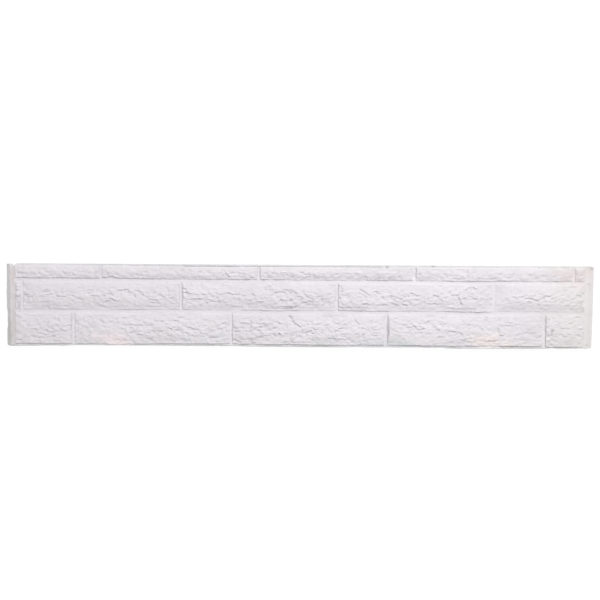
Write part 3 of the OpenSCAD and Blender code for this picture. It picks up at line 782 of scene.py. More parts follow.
def face_level(x, y, top_edge, bottom_edge):
    """Height of the plate's face over its back, and which places are stone."""
    rise = np.zeros_like(x)
    for stone in STONES:
        inside = (x > stone.left - HAIR) & (x < stone.right + HAIR)
        inside &= (y > stone.foot - 1.0) & (y < stone.head + HAIR)
        px, py = x[inside], y[inside]
        rise[inside] = np.minimum(split_face(px, py, stone), flanks(px, py, stone))
    left_over = RELIEF - SOFT_FROM
    pressed = SOFT_FROM + left_over * np.tanh((rise - SOFT_FROM) / left_over)
    rise = np.where(rise > SOFT_FROM, pressed, rise)
    rise *= (RELIEF - SPARE) / rise.max()
    level = np.maximum(mould_bed(x, y), BED - SUNK + np.maximum(rise, margin_swell(x, y)))
    level = np.minimum(level, THICKNESS - SPARE)

    lip = np.zeros_like(x)
    for start, stop, height in LIPS:
        lip = np.maximum(lip, height * ease((x - start) / LIP_FADE) * ease((stop - x) / LIP_FADE))
    level = np.maximum(level, BED - SUNK + lip * ease((y - LIP_FROM) / LIP_RISE))
    for depth, cx, cy, radius in RIM_KNOCKS:
        level -= depth * dent(x - cx, y - cy, radius)

    worn = 0.4 * wander(x, y, 16.0, ENDLESS, 41)
    from_edge = np.minimum(top_edge - y - TOP_CHAMFER + lip, y - bottom_edge - BOTTOM_CHAMFER)
    chamfered = from_edge + BED - worn - SUNK
    rising = np.minimum(x / LEFT_BEVEL_W, (LENGTH - x) / RIGHT_BEVEL_W)
    bevelled = BED - BEVEL_D + BEVEL_D * rising + 0.35 * wander(x, y, ENDLESS, 20.0, 43)
    bevelled += 0.5 * wander(x, y, 5.0, 34.0, 44) + 0.35 * broken(x, y, 8.0, 10.0, 2, 45)
    level = np.minimum(level, np.minimum(chamfered, bevelled))
    return np.maximum(level, 0.0), rise > STONE_FROM


# ---------------------------------------------------------------- the plate's mesh


def spaced(marks, step):
    """Even steps of about the given size between the marks, which all stay."""
    places = [marks[0]]
    for a, b in zip(marks[:-1], marks[1:]):
        count = max(1, round((b - a) / step))
        places += list(np.linspace(a, b, count + 1)[1:])
    return np.array(places)


def face_rows():
    """y of each row of the face's mesh, and the course that the row lies in."""
    marks = [0.0, BOTTOM_CHAMFER]
    for course in COURSES:
        head = course.foot + course.height
        marks += [course.foot, course.foot + LOWER_LEAN, head - UPPER_LEAN, head]
    marks += [LIP_FROM + LIP_RISE, HEIGHT - TOP_CHAMFER, HEIGHT]
    rows = spaced(sorted(marks), ROW)
    owners = []
    for y in rows:
        around = [c for c in COURSES if c.foot - HAIR <= y <= c.foot + c.height + HAIR]
        owners.append(around[-1] if around else None)
    return rows, owners


def course_columns(columns, course):
    """The even columns, with those beside each joint moved onto its edges and arrises."""
    fitted = columns.copy()
    for _, left_edge, right_edge in joints(course):
        left = np.argmin(abs(columns - left_edge))
        right = np.argmin(abs(columns - right_edge))
        fitted[left] = left_edge
        fitted[left - 1] = left_edge - RIGHT_LEAN
        fitted[right] = right_edge
        fitted[right + 1] = right_edge + LEFT_LEAN
    return fitted


def worn_edges(x):
    """Where the plate's top and bottom edges run at each x: knocked off at the upper left,
    rounded at the upper right and worn along the bottom."""
    top = HEIGHT - 0.12 * (1.0 + wander(x, x * 0, 22.0, 1.0, 71))
    top -= 1.8 * ease((12 - x) / 4) + 6.6 * ease((x - 9) / 8) * ease((38 - x) / 10)
    top -= 2.6 * ease((x - (LENGTH - 10)) / 10) ** 1.5
    bottom = listed(x, BOTTOM_WEAR) + 0.7 * broken(x, x * 0, 30.0, 1.0, 3, 73)
    return top, np.maximum(bottom, 0.0)


def fit_columns(x, y):
    """Moves the columns beside the ends onto the worn ends."""
    waver = 1.1 * broken(y, y * 0, 13.0, 1.0, 4, 75)
    left = np.maximum(listed(y, LEFT_WEAR) + waver, 0.0)
    right = np.maximum(listed(y, RIGHT_WEAR) + 0.35 * waver, 0.0)
    left = left * np.clip(1.0 - x / WORN_REACH, 0.0, 1.0)
    right = right * np.clip(1.0 - (LENGTH - x) / WORN_REACH, 0.0, 1.0)
    return x + left - right


def fit_rows(x, y):
    """Moves the even rows onto the worn edges and the courses' wavering feet."""
    top, bottom = worn_edges(x)
    fitted = y.copy()
    for course in COURSES:
        _, lift = foot_line(course, x)
        gap = BOTTOM_RIM if course.foot == BOTTOM_RIM else JOINT
        below = np.clip((y - course.foot) / gap + 1.0, 0.0, 1.0)
        above = ease(1.0 - (y - course.foot) / LIFT_FADE)
        fitted += lift * np.where(y < course.foot, below, above)
    plain = (x < LEFT_MARGIN) | (x > LENGTH - RIGHT_MARGIN)
    reach = np.where(plain, MARGIN_FADE, TOP_RIM)
    fitted -= (HEIGHT - top) * np.clip((y - HEIGHT) / reach + 1.0, 0.0, 1.0)
    fitted += bottom * np.clip(1.0 - y / BOTTOM_RIM, 0.0, 1.0)
    return fitted, top, bottom


def face_grid():
    """x, y and z of the face's mesh, row by row, and which places are stone."""
    marks = [0.0, LEFT_BEVEL_W, LEFT_MARGIN, LEFT_MARGIN + LEFT_LEAN]
    marks += [LENGTH - k for k in (RIGHT_MARGIN + RIGHT_LEAN, RIGHT_MARGIN, RIGHT_BEVEL_W, 0.0)]
    columns = spaced(marks, COLUMN)
    rows, owners = face_rows()
    x = np.array([columns if o is None else course_columns(columns, o) for o in owners])
    y = np.repeat(rows[:, None], len(columns), axis=1)
    y, top, bottom = fit_rows(x, y)
    x = fit_columns(x, y)
    z, stony = face_level(x, y, top, bottom)
    return x, y, z, stony


def ring(rows, columns):
    """Places round the edge of a grid, anticlockwise, as row and column."""
    places = [(0, c) for c in range(columns - 1)]
    places += [(r, columns - 1) for r in range(rows - 1)]
    places += [(rows - 1, c) for c in range(columns - 1, 0, -1)]
    places += [(r, 0) for r in range(rows - 1, 0, -1)]
    return places


def thinned(count, step):
    """Every so many places up to the last, which is always kept."""
    kept = list(range(0, count - 1, step))
    if count - 1 - kept[-1] < step and len(kept) > 1:
        kept.pop()
    return kept + [count - 1]


STONE_FACE, MOULD_FACE, MOULD_EDGE, FLOATED_BACK = range(4)


def build_panel():
    """The cast plate as one closed mesh: face, edges and floated back."""
    x, y, z, stony = face_grid()
    n_rows, n_cols = x.shape
    points = [np.stack((x.ravel(), y.ravel(), z.ravel()), axis=1)]
    faces, finishes = [], []
    for r in range(n_rows - 1):
        for c in range(n_cols - 1):
            a = r * n_cols + c
            faces.append((a, a + 1, a + n_cols + 1, a + n_cols))
            stone = stony[r : r + 2, c : c + 2].any()
            finishes.append(STONE_FACE if stone else MOULD_FACE)

    # The edges: rings of points below the face's border, down to the back's arris. The
    # wear along the bottom edge runs out towards the back.
    border = ring(n_rows, n_cols)
    border_r, border_c = np.array(border).T
    bx, by, bz = x[border_r, border_c], y[border_r, border_c], z[border_r, border_c]
    inward_x = (border_c == 0) * 1.0 - (border_c == n_cols - 1)
    inward_y = (border_r == 0) * 1.0 - (border_r == n_rows - 1)
    previous = border_r * n_cols + border_c
    total = n_rows * n_cols
    for share in EDGE_RINGS:
        worn = 0.25 + 0.2 * broken(bx + 3.0 * by, bz * share, 30.0, 9.0, 2, 51)
        worn = np.maximum(worn, 0.0)
        py = np.where(border_r == 0, by * share, by) + inward_y * worn
        points.append(np.stack((bx + inward_x * worn, py, bz * share), axis=1))
        current = np.arange(total, total + len(border))
        total += len(border)
        for k in range(len(border)):
            n = (k + 1) % len(border)
            faces.append((previous[k], current[k], current[n], previous[n]))
            finishes.append(MOULD_EDGE)
        previous = current

    # The back: a coarser grid, whose border keeps every third point of the rings
    keep_r, keep_c = thinned(n_rows, BACK_STEP), thinned(n_cols, BACK_STEP)
    back = {}
    for r in keep_r:
        for c in keep_c:
            back[r, c] = total + len(back)
    br, bc = np.meshgrid(keep_r, keep_c, indexing="ij")
    br, bc = br.ravel(), bc.ravel()
    px, py = x[0][bc], np.where(br == 0, 0.0, y[br, bc])
    worn = 0.9 + 0.5 * broken(px, py, 18.0, 18.0, 2, 61)
    px = px + worn * ((bc == 0) * 1.0 - (bc == n_cols - 1))
    py = py + worn * ((br == 0) * 1.0 - (br == n_rows - 1))
    wave = np.maximum(0.30 + 0.25 * broken(px, py, 160.0, 60.0, 2, 63), 0.0)
    border_back = (br == 0) | (br == n_rows - 1) | (bc == 0) | (bc == n_cols - 1)
    points.append(np.stack((px, py, np.where(border_back, 0.0, wave)), axis=1))
    for i in range(len(keep_r) - 1):
        for j in range(len(keep_c) - 1):
            a, b = keep_r[i], keep_r[i + 1]
            c, d = keep_c[j], keep_c[j + 1]
            faces.append((back[a, c], back[b, c], back[b, d], back[a, d]))
            finishes.append(FLOATED_BACK)
    stops = [k for k, place in enumerate(border) if place in back]
    for k, stop in enumerate(stops):
        after = stops[k + 1] if k + 1 < len(stops) else len(border)
        upper = [previous[m % len(border)] for m in range(stop, after + 1)]
        first, last = border[stop], border[after % len(border)]
        faces.append((back[first], back[last], *reversed(upper)))
        finishes.append(MOULD_EDGE)

    placed = np.concatenate(points) * MM + np.array(list(cad_low))
    mesh = bpy.data.meshes.new("cast_panel")
    mesh.from_pydata(placed.tolist(), [], [[int(v) for v in f] for f in faces])
    mesh.polygons.foreach_set("material_index", finishes)
    mesh.polygons.foreach_set("use_smooth", [True] * len(faces))
    mesh.set_sharp_from_angle(angle=SHARPEST)

    hollow = np.zeros(len(placed), np.float32)
    hollow[: z.size] = cavity(z).ravel()
    layer = mesh.attributes.new("hollow", "FLOAT", "POINT")
    layer.data.foreach_set("value", hollow)
    mesh.validate()
    mesh.update()
    panel = bpy.data.objects.new("cast_panel", mesh)
    bpy.context.collection.objects.link(panel)
    return panel


def cavity(z):
    """How deep each place lies below its surroundings, from 0 to 1."""
    reach = 3
    padded = np.pad(z, reach, mode="edge")
    mean = np.zeros_like(z)
    for dr in range(2 * reach + 1):
        for dc in range(2 * reach + 1):
            mean += padded[dr : dr + z.shape[0], dc : dc + z.shape[1]]
    mean /= (2 * reach + 1) ** 2
    return np.clip((mean - z) / 3.0, 0.0, 1.0)


# ---------------------------------------------------------------- node groups


def new_group(name, inputs, outputs):
    """An empty group with its sockets, and its input and output nodes."""
    tree = bpy.data.node_groups.new(name, "ShaderNodeTree")
    for kind, label, value in inputs:
        socket = tree.interface.new_socket(label, in_out="INPUT", socket_type="NodeSocket" + kind)
        socket.default_value = value
    for kind, label in outputs:
        tree.interface.new_socket(label, in_out="OUTPUT", socket_type="NodeSocket" + kind)
    return tree, tree.nodes.new("NodeGroupInput"), tree.nodes.new("NodeGroupOutput")


def fill(tree, node, sockets):
    """Gives a node's inputs their values or links."""
    for key, value in sockets.items():
        if isinstance(value, bpy.types.NodeSocket):
            tree.links.new(value, node.inputs[key])
        else:
            node.inputs[key].default_value = value
    return node


def wire(tree, kind, sockets=(), **settings):
    """Adds a node, sets its properties, and fills its inputs."""
    node = tree.nodes.new("ShaderNode" + kind)
    for key, value in settings.items():
        setattr(node, key, value)
    return fill(tree, node, dict(sockets))


def maths(tree, operation, a, b=0.0, clamp=False):
    """One step of arithmetic on a value or two."""
    return wire(tree, "Math", {0: a, 1: b}, operation=operation, use_clamp=clamp).outputs[0]


def ranged(tree, value, low, high, to_low=0.0, to_high=1.0):
    """A value's place between low and high, turned into one between two others."""
    sockets = {"Value": value, "From Min": low, "From Max": high, "To Min": to_low, "To Max": to_high}
    return wire(tree, "MapRange", sockets, interpolation_type="SMOOTHSTEP").outputs[0]


def mixed(tree, share, a, b, blend_type="MIX"):
    """Two colours mixed."""
    sockets = {0: share, 6: a, 7: b}
    return wire(tree, "Mix", sockets, data_type="RGBA", blend_type=blend_type).outputs[2]


def tinted(tree, colour, mask, strength, tint):
    """A colour with another laid over it, as strongly as the mask says."""
    return mixed(tree, maths(tree, "MULTIPLY", mask, strength), colour, tint)


def own_place(tree):
    """Each spot's place in the part's frame."""
    return tree.nodes.new("ShaderNodeTexCoord").outputs["Object"]


def cement_cloud():
    """Uneven cement colour: broad clouds between two tones, with finer mottling."""
    tree, given, out = new_group(
        "cement_cloud",
        [
            ("Color", "Light", (0.8, 0.77, 0.8, 1)),
            ("Color", "Dark", (0.7, 0.67, 0.7, 1)),
            ("Float", "Cloud Scale", 6.0),
            ("Float", "Mottle Scale", 60.0),
        ],
        [("Color", "Color")],
    )
    place = own_place(tree)
    cloud_look = {"Vector": place, "Scale": given.outputs["Cloud Scale"], "Detail": 4.0}
    mottle_look = {"Vector": place, "Scale": given.outputs["Mottle Scale"], "Detail": 5.0, "Roughness": 0.6}
    cloud = wire(tree, "TexNoise", cloud_look)
    mottle = wire(tree, "TexNoise", mottle_look)
    broad = ranged(tree, cloud.outputs["Fac"], 0.3, 0.7)
    fine = ranged(tree, mottle.outputs["Fac"], 0.3, 0.7)
    share = maths(tree, "ADD", maths(tree, "MULTIPLY", broad, 0.6), maths(tree, "MULTIPLY", fine, 0.4))
    colour = mixed(tree, share, given.outputs["Dark"], given.outputs["Light"])
    tree.links.new(colour, out.inputs["Color"])
    return tree


def sand_grain():
    """Sand in the cement skin: a height for the bump and a mask of darker grains."""
    tree, given, out = new_group(
        "sand_grain",
        [("Float", "Scale", 500.0), ("Float", "Depth", 1.0)],
        [("Float", "Height"), ("Float", "Grains")],
    )
    place = own_place(tree)
    fine_look = {"Vector": place, "Scale": given.outputs["Scale"], "Detail": 6.0, "Roughness": 0.65}
    coarse_scale = maths(tree, "MULTIPLY", given.outputs["Scale"], 0.3)
    fine = wire(tree, "TexNoise", fine_look)
    coarse = wire(tree, "TexNoise", {"Vector": place, "Scale": coarse_scale, "Detail": 3.0})
    both = maths(tree, "ADD", fine.outputs["Fac"], coarse.outputs["Fac"])
    tree.links.new(maths(tree, "MULTIPLY", both, given.outputs["Depth"]), out.inputs["Height"])
    grains = ranged(tree, fine.outputs["Fac"], 0.60, 0.72)
    tree.links.new(grains, out.inputs["Grains"])
    return tree


def air_holes():
    """Small round holes that air bubbles left against the mould."""
    tree, given, out = new_group(
        "air_holes",
        [("Float", "Scale", 90.0), ("Float", "Size", 0.16), ("Float", "Share", 0.3)],
        [("Float", "Mask"), ("Float", "Height")],
    )
    place = own_place(tree)
    cells_look = {"Vector": place, "Scale": given.outputs["Scale"], "Randomness": 1.0}
    cells = wire(tree, "TexVoronoi", cells_look)
    picked = wire(tree, "SeparateColor", {"Color": cells.outputs["Color"]})
    chosen = maths(tree, "LESS_THAN", picked.outputs[0], given.outputs["Share"])
    size = maths(tree, "MULTIPLY", given.outputs["Size"], ranged(tree, picked.outputs[1], 0, 1, 0.4, 1.0))
    inner = maths(tree, "MULTIPLY", size, 0.7)
    hole_look = {"Value": cells.outputs["Distance"], "From Min": size, "From Max": inner}
    round_hole = wire(tree, "MapRange", hole_look)
    mask = maths(tree, "MULTIPLY", round_hole.outputs[0], chosen, clamp=True)
    tree.links.new(mask, out.inputs["Mask"])
    tree.links.new(maths(tree, "MULTIPLY", mask, -1.0), out.inputs["Height"])
    return tree


def soft_tint_patch():
    """A patch of tint with a ragged soft edge round a place on the plate, used for stains and for painted
    light and shade.
    """
    tree, given, out = new_group(
        "soft_tint_patch",
        [
            ("Vector", "Middle", (0, 0, 0)),
            ("Vector", "Half Size", (0.1, 0.1, 1.0)),
            ("Float", "Ragged", 0.45),
        ],
        [("Float", "Mask")],
    )
    place = own_place(tree)
    middle, half = given.outputs["Middle"], given.outputs["Half Size"]
    offset = wire(tree, "VectorMath", {0: place, 1: middle}, operation="SUBTRACT").outputs[0]
    shares = wire(tree, "VectorMath", {0: offset, 1: half}, operation="DIVIDE").outputs[0]
    far = wire(tree, "VectorMath", {0: shares}, operation="LENGTH").outputs["Value"]
    ragged = wire(tree, "TexNoise", {"Vector": place, "Scale": 28.0, "Detail": 5.0}).outputs["Fac"]
    waver = maths(tree, "MULTIPLY", ranged(tree, ragged, 0.25, 0.75, -1.0, 1.0), given.outputs["Ragged"])
    tree.links.new(ranged(tree, maths(tree, "ADD", far, waver), 1.0, 0.2), out.inputs["Mask"])
    return tree


GROUPS = {make.__name__: make() for make in (cement_cloud, sand_grain, air_holes, soft_tint_patch)}


def place_group(tree, name, **values):
    """Places a group in a material, with its own values. Underscores stand for spaces."""
    node = tree.nodes.new("ShaderNodeGroup")
    node.node_tree = GROUPS[name]
    return fill(tree, node, {key.replace("_", " "): value for key, value in values.items()})


# ---------------------------------------------------------------- finishes


def new_finish(name, roughness, specular):
    """A material with a bare Principled shader, and that shader."""
    material = bpy.data.materials.new(name)
    material.use_nodes = True
    shader = material.node_tree.nodes["Principled BSDF"]
    shader.inputs["Roughness"].default_value = roughness
    shader.inputs["Specular IOR Level"].default_value = specular
    return material, material.node_tree, shader


def bumped(tree, shader, height, distance):
    """Gives a finish its fine unevenness."""
    bump = wire(tree, "Bump", {"Height": height, "Strength": 1.0, "Distance": distance})
    tree.links.new(bump.outputs["Normal"], shader.inputs["Normal"])


def on_plate(x, y):
    """A place on the plate in millimetres, in the part's frame."""
    return (cad_low[0] + x * MM, cad_low[1] + y * MM, BED * MM)


# Stains on the cement, and painted light and shade among them: middle, half sizes, raggedness, and the tint
# as a colour or a grey
ROSE, PALE_ROSE, DULL_ROSE = (1.2, 1.11, 1.1), (1.13, 1.075, 1.02), (0.995, 0.95, 0.945)
BEVEL_SHADE_GREEN, BROWNED, WARM_GREY = (0.945, 0.96, 0.925), (0.9, 0.88, 0.862), (0.98, 0.982, 0.943)
DAMP, TOP_EDGE_SHADE, HEAD = (0.975, 0.995, 0.98), (0.82, 0.86, 0.83), (0.96, 0.975, 0.965)
GREENISH, BLUISH, COOL = (0.955, 0.985, 0.955), (0.935, 0.96, 0.98), (0.992, 0.99, 1.012)
PALE, SHADE_GREY, KNOCK_DIRT_AND_SHADE = 1.03, 0.955, 0.72
FAR, TALL = 4000, 900  # half sizes that take a stain past the plate, and right up its ends
STAINS_AND_PAINTED_LIGHT = (
    # Rose patches, two at the bottom edge and one at the upper right
    (342, 24, 78, 36, 0.45, ROSE),
    (1512, 22, 92, 34, 0.45, PALE_ROSE),
    (1792, 232, 104, 48, 0.45, DULL_ROSE),
    # The left margin: greenish and darker outside, where the darkening is painted shade of its steeper outer
    # bevel; brown along the bevel
    (7, 130, 14, TALL, 0.3, BEVEL_SHADE_GREEN),
    (10, 48, 17, 80, 0.4, (0.885, 0.9, 0.875)),
    (26.5, 130, 8.5, TALL, 0.3, BROWNED),
    (25, 222, 10, 44, 0.5, (1.0, 0.965, 0.945)),
    (25, 66, 9, 34, 0.5, (1.0, 0.975, 0.96)),
    # Bands along the plate, with painted shade in a greenish tone along the top edge, and its greyer right
    # end
    (920, 0, FAR, 34, 0.45, DAMP),
    (1000, 112, FAR, 10, 0.15, 0.97),
    (920, 264.5, FAR, 11, 0.1, TOP_EDGE_SHADE),
    (920, 264, FAR, 26, 0.3, HEAD),
    (1900, 130, 320, FAR, 0.2, WARM_GREY),
    (1300, 262, 700, 26, 0.3, HEAD),
    # Darker places in upright joints, and above the long one between the lower courses
    (1100, 125, 85, 16, 0.45, 0.965),
    (45, 150, 7, 60, 0.3, 0.94),
    (533, 160, 12, 46, 0.3, 0.93),
    (1201, 58, 3.5, 60, 0.1, 0.86),
    # Paler places; the one at the foot of the first bottom stone and the one along the feet of the top stones
    # at the right are painted light
    (1700, 165, 140, 50, 0.45, PALE),
    (1780, 170, 50, 45, 0.45, PALE),
    (1795, 226, 22, 14, 0.45, PALE),
    (165, 238, 150, 22, 0.45, PALE),
    (115, 24, 100, 18, 0.45, PALE),
    (1480, 225, 190, 9, 0.3, PALE),
    # The rims, with painted shade on the top one at the left; painted light on the feet of the top stones,
    # which shows them paler; and painted shade on the lit heads of the middle ones
    (280, 258, 260, 4, 0.3, SHADE_GREY),
    (1550, 4.5, 130, 4, 0.3, 1.05),
    (130, 221.5, 150, 9, 0.3, 1.06),
    (350, 221, 60, 8, 0.3, 1.06),
    (530, 221, 90, 8, 0.3, 1.07),
    (1080, 222, 130, 8, 0.3, 1.07),
    (1290, 221.5, 150, 9, 0.3, 1.05),
    (1650, 221.5, 190, 10, 0.3, 1.11),
    (750, 203, 360, 9, 0.3, SHADE_GREY),
    # Darker at the feet of the middle stones; painted shade on the lit heads of the bottom ones
    (890, 121, 36, 9, 0.3, 0.87),
    (1100, 122, 78, 9, 0.3, 0.91),
    (1415, 121, 46, 9, 0.3, 0.91),
    (1795, 123, 20, 9, 0.3, 0.92),
    (530, 104, 100, 6, 0.3, 0.91),
    (1010, 104, 56, 6, 0.3, 0.89),
    (1330, 104, 56, 6, 0.3, 0.89),
    (1735, 104, 50, 6, 0.3, 0.91),
    # Small spots at the right end and in two upright joints, with a painted highlight on a knob of the last
    # bottom stone
    (1822, 205, 7, 5, 0.3, (0.86, 0.79, 0.79)),
    (1820, 14, 8, 4, 0.3, (0.85, 0.81, 0.81)),
    (1748, 236, 28, 17, 0.45, (1.0, 0.965, 0.955)),
    (1709, 55, 3, 14, 0.2, (0.78, 0.77, 0.77)),
    (1698, 32, 6, 5, 0.3, (1.1, 1.1, 1.08)),
    (1201, 58, 3.4, 60, 0.1, 0.9),
    # Greenish and bluish clouds, darker spots along the edges, and the knocks in the rim darkened with dirt
    # and painted shade
    (507, 50, 36, 18, 0.45, GREENISH),
    (665, 36, 64, 28, 0.45, (0.965, 0.98, 0.992)),
    (560, 27, 34, 12, 0.45, BLUISH),
    (770, 160, 260, 60, 0.45, COOL),
    (510, 38, 62, 28, 0.6, (0.955, 0.965, 0.965)),
    (1010, 22, 56, 16, 0.6, (0.92, 0.93, 0.93)),
    (1167, 220, 19, 12, 0.4, (0.86, 0.86, 0.865)),
    (975, 5, 80, 5, 0.2, (0.85, 0.86, 0.85)),
    (1408, 1, 46, 8, 0.2, (0.78, 0.8, 0.78)),
    (1833, 252, 6, 5, 0.2, (0.8, 0.8, 0.82)),
    (1193, 252.5, 8, 6, 0.2, KNOCK_DIRT_AND_SHADE),
    (1337, 257.5, 9, 3.5, 0.2, KNOCK_DIRT_AND_SHADE),
    (1160, 18, 150, 18, 0.45, BLUISH),
    (1225, 20, 70, 16, 0.45, GREENISH),
)


def with_stains_and_painted_light(tree, colour):
    """A colour with all of the plate's stains and painted light and shade on it."""
    for x, y, half_x, half_y, ragged, tint in STAINS_AND_PAINTED_LIGHT:
        tint = (*tint, 1) if isinstance(tint, tuple) else (tint, tint, tint, 1)
        half = (half_x * MM, half_y * MM, 1.0)
        tint_patch = place_group(tree, "soft_tint_patch", Middle=on_plate(x, y), Half_Size=half, Ragged=ragged)
        colour = mixed(tree, tint_patch.outputs["Mask"], colour, tint, "MULTIPLY")
    return colour


def cement(tree, light, dark, cloud, mottle):
    """Bare cement, clouded between a light and a dark tone at two scales."""
    tones = {"Light": (*light, 1), "Dark": (*dark, 1)}
    return place_group(tree, "cement_cloud", Cloud_Scale=cloud, Mottle_Scale=mottle, **tones).outputs["Color"]


def split_stone_finish():
    """Cast copy of split stone: dusty, coarse, with its hollows darkened as painted shade together with some
    dirt held in them.
    """
    material, tree, shader = new_finish("split_stone_face", 0.92, 0.25)
    colour = cement(tree, (0.83, 0.79, 0.825), (0.765, 0.73, 0.765), 7.0, 75.0)
    grain = place_group(tree, "sand_grain", Scale=420.0, Depth=1.0)
    colour = tinted(tree, colour, grain.outputs["Grains"], 0.22, (0.60, 0.58, 0.60, 1))
    # The hollows are darkened: painted shade, with some dirt held in them
    hollow = wire(tree, "Attribute", attribute_name="hollow").outputs["Fac"]
    colour = tinted(tree, colour, ranged(tree, hollow, 0.05, 0.6), 0.28, (0.56, 0.54, 0.55, 1))
    tree.links.new(with_stains_and_painted_light(tree, colour), shader.inputs["Base Color"])
    bumped(tree, shader, grain.outputs["Height"], 0.0006)
    return material


def pitted(tree, colour, grain, holes, tint, strength, depth):
    """A cement skin with air holes in it: its colour, with the holes darkened as painted shade, and its
    height for the bump.
    """
    # The holes are darkened: painted shade in them
    colour = tinted(tree, colour, holes.outputs["Mask"], strength, tint)
    deep = maths(tree, "MULTIPLY", holes.outputs["Height"], depth)
    return colour, maths(tree, "ADD", grain.outputs["Height"], deep)


def mould_face_finish():
    """Joints, margins and bevels: smooth cement skin with pinholes."""
    material, tree, shader = new_finish("mould_smooth_face", 0.85, 0.3)
    colour = cement(tree, (0.845, 0.807, 0.843), (0.775, 0.74, 0.773), 9.0, 110.0)
    grain = place_group(tree, "sand_grain", Scale=800.0, Depth=0.5)
    holes = place_group(tree, "air_holes", Scale=70.0, Size=0.14, Share=0.25)
    colour, height = pitted(tree, colour, grain, holes, (0.42, 0.41, 0.42, 1), strength=0.6, depth=2.0)
    tree.links.new(with_stains_and_painted_light(tree, colour), shader.inputs["Base Color"])
    bumped(tree, shader, height, 0.0005)
    return material


def mould_edge_finish():
    """The plate's edges: cast against the mould's sides, with larger air holes."""
    material, tree, shader = new_finish("mould_edge", 0.88, 0.3)
    colour = cement(tree, (0.77, 0.75, 0.76), (0.67, 0.655, 0.66), 8.0, 90.0)
    grain = place_group(tree, "sand_grain", Scale=600.0, Depth=0.8)
    holes = place_group(tree, "air_holes", Scale=55.0, Size=0.17, Share=0.4)
    colour, height = pitted(tree, colour, grain, holes, (0.36, 0.35, 0.36, 1), strength=0.7, depth=3.0)
    tree.links.new(colour, shader.inputs["Base Color"])
    bumped(tree, shader, height, 0.0007)
    return material


def floated_back_finish():
    """The back: floated by hand, greyer, with arcs from the float and a coarser skin."""
    material, tree, shader = new_finish("floated_back", 0.9, 0.25)
    colour = cement(tree, (0.72, 0.705, 0.70), (0.58, 0.57, 0.56), 5.0, 40.0)
    grain = place_group(tree, "sand_grain", Scale=350.0, Depth=1.2)
    arcs = {"Vector": own_place(tree), "Scale": 3.0, "Distortion": 9.0, "Detail": 3.0, "Detail Scale": 1.4}
    sweep = wire(tree, "TexWave", arcs, wave_type="RINGS", rings_direction="Z")
    marks = ranged(tree, sweep.outputs["Fac"], 0.2, 0.8)
    colour = tinted(tree, colour, marks, 0.12, (0.50, 0.49, 0.48, 1))
    tree.links.new(colour, shader.inputs["Base Color"])
    height = maths(tree, "ADD", grain.outputs["Height"], maths(tree, "MULTIPLY", marks, 0.8))
    bumped(tree, shader, height, 0.0008)
    return material


# ---------------------------------------------------------------- camera, light and floor


def place_camera(distance, lean, sway, roll, field, look_x, look_y):
    """A camera over the plate that leans a little towards its top edge and its right end,
    and takes in a field of the given width at the plate's face."""
    target = Vector((look_x, look_y, BED * MM))
    back = Vector((math.sin(sway) * math.cos(lean), math.sin(lean), math.cos(sway) * math.cos(lean)))
    level = Vector((0.0, 1.0, 0.0)).cross(back).normalized()
    upright = back.cross(level)
    right = level * math.cos(roll) + upright * math.sin(roll)
    up = upright * math.cos(roll) - level * math.sin(roll)
    lens = bpy.data.cameras.new("camera")
    lens.sensor_width = 36.0
    lens.lens = 36.0 * distance / field
    lens.clip_end = 50.0
    camera = bpy.data.objects.new("camera", lens)
    turn = Matrix((right, up, back)).transposed().to_4x4()
    camera.matrix_world = Matrix.Translation(target + back * distance) @ turn
    bpy.context.collection.objects.link(camera)
    bpy.context.scene.camera = camera


def place_softbox(name, place, size, watts):
    """A square lamp that faces the middle of the plate's back."""
    lamp = bpy.data.lights.new(name, "AREA")
    lamp.shape = "SQUARE"
    lamp.size = size
    lamp.energy = watts
    softbox = bpy.data.objects.new(name, lamp)
    softbox.location = place
    softbox.rotation_euler = Vector(place).to_track_quat("Z", "Y").to_euler()
    bpy.context.collection.objects.link(softbox)


def seen_white(tree):
    """1 for rays that show a white background, and 0 for rays that light the plate."""
    path = tree.nodes.new("ShaderNodeLightPath")
    either = maths(tree, "MAXIMUM", path.outputs["Is Camera Ray"], path.outputs["Is Glossy Ray"])
    return maths(tree, "MAXIMUM", either, path.outputs["Is Transmission Ray"])


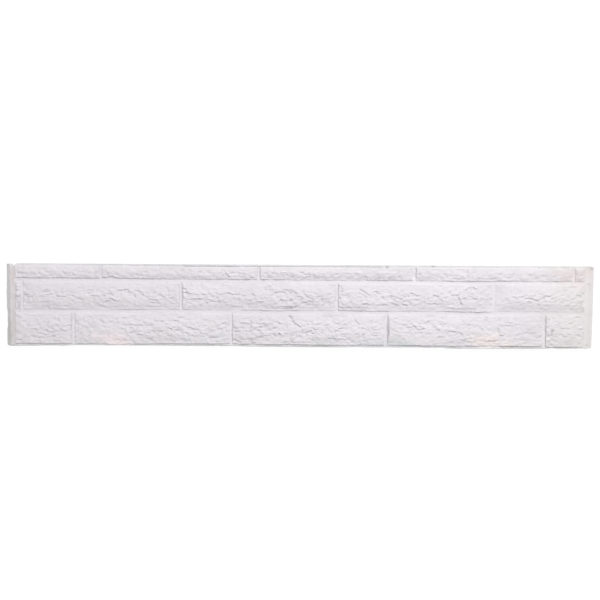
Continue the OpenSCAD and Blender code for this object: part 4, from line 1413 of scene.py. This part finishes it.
def set_sky(strength):
    """An even white sky: it lights the plate with this strength, and is seen at full white."""
    world = bpy.data.worlds.new("studio")
    world.use_nodes = True
    bpy.context.scene.world = world
    tree = world.node_tree
    sky = tree.nodes["Background"]
    white = seen_white(tree)
    level = ranged(tree, white, 0.0, 1.0, strength, 1.0)
    tree.links.new(level, sky.inputs["Strength"])
    sky.inputs["Color"].default_value = (1, 1, 1, 1)


def lay_floor(reach):
    """A white floor that keeps a faint shadow of the plate."""
    mesh = bpy.data.meshes.new("floor")
    corners = [(-reach, -reach, 0), (reach, -reach, 0), (reach, reach, 0), (-reach, reach, 0)]
    mesh.from_pydata(corners, [], [(0, 1, 2, 3)])
    floor = bpy.data.objects.new("floor", mesh)
    bpy.context.collection.objects.link(floor)
    floor.location.z = cad_low[2] - 0.0002
    material = bpy.data.materials.new("studio_floor")
    material.use_nodes = True
    tree = material.node_tree
    tree.nodes.remove(tree.nodes["Principled BSDF"])
    matt = wire(tree, "BsdfDiffuse", {"Color": (0.12, 0.12, 0.12, 1)})
    plain = wire(tree, "BsdfDiffuse", {"Color": (0.8, 0.8, 0.8, 1)})
    glow = wire(tree, "Emission", {"Color": (1, 1, 1, 1), "Strength": 0.93})
    seen = wire(tree, "AddShader", {0: matt.outputs[0], 1: glow.outputs[0]})
    choice = wire(tree, "MixShader", {0: seen_white(tree), 1: plain.outputs[0], 2: seen.outputs[0]})
    tree.links.new(choice.outputs[0], tree.nodes["Material Output"].inputs["Surface"])
    mesh.materials.append(material)


# ---------------------------------------------------------------- the scene

bpy.context.scene.view_settings.view_transform = "Standard"

panel = build_panel()
for finish in (split_stone_finish(), mould_face_finish(), mould_edge_finish(), floated_back_finish()):
    panel.data.materials.append(finish)
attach(panel, "root")
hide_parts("panel")

place_camera(
    distance=2.4,
    lean=math.radians(3.6),
    sway=math.radians(0.34),
    roll=math.radians(0.33),
    field=1.8738,
    look_x=0.003,
    look_y=0.0203,
)
place_softbox("key", place=(0.85, 2.32, 3.12), size=2.2, watts=107.5)
set_sky(strength=0.5)
lay_floor(reach=12.0)
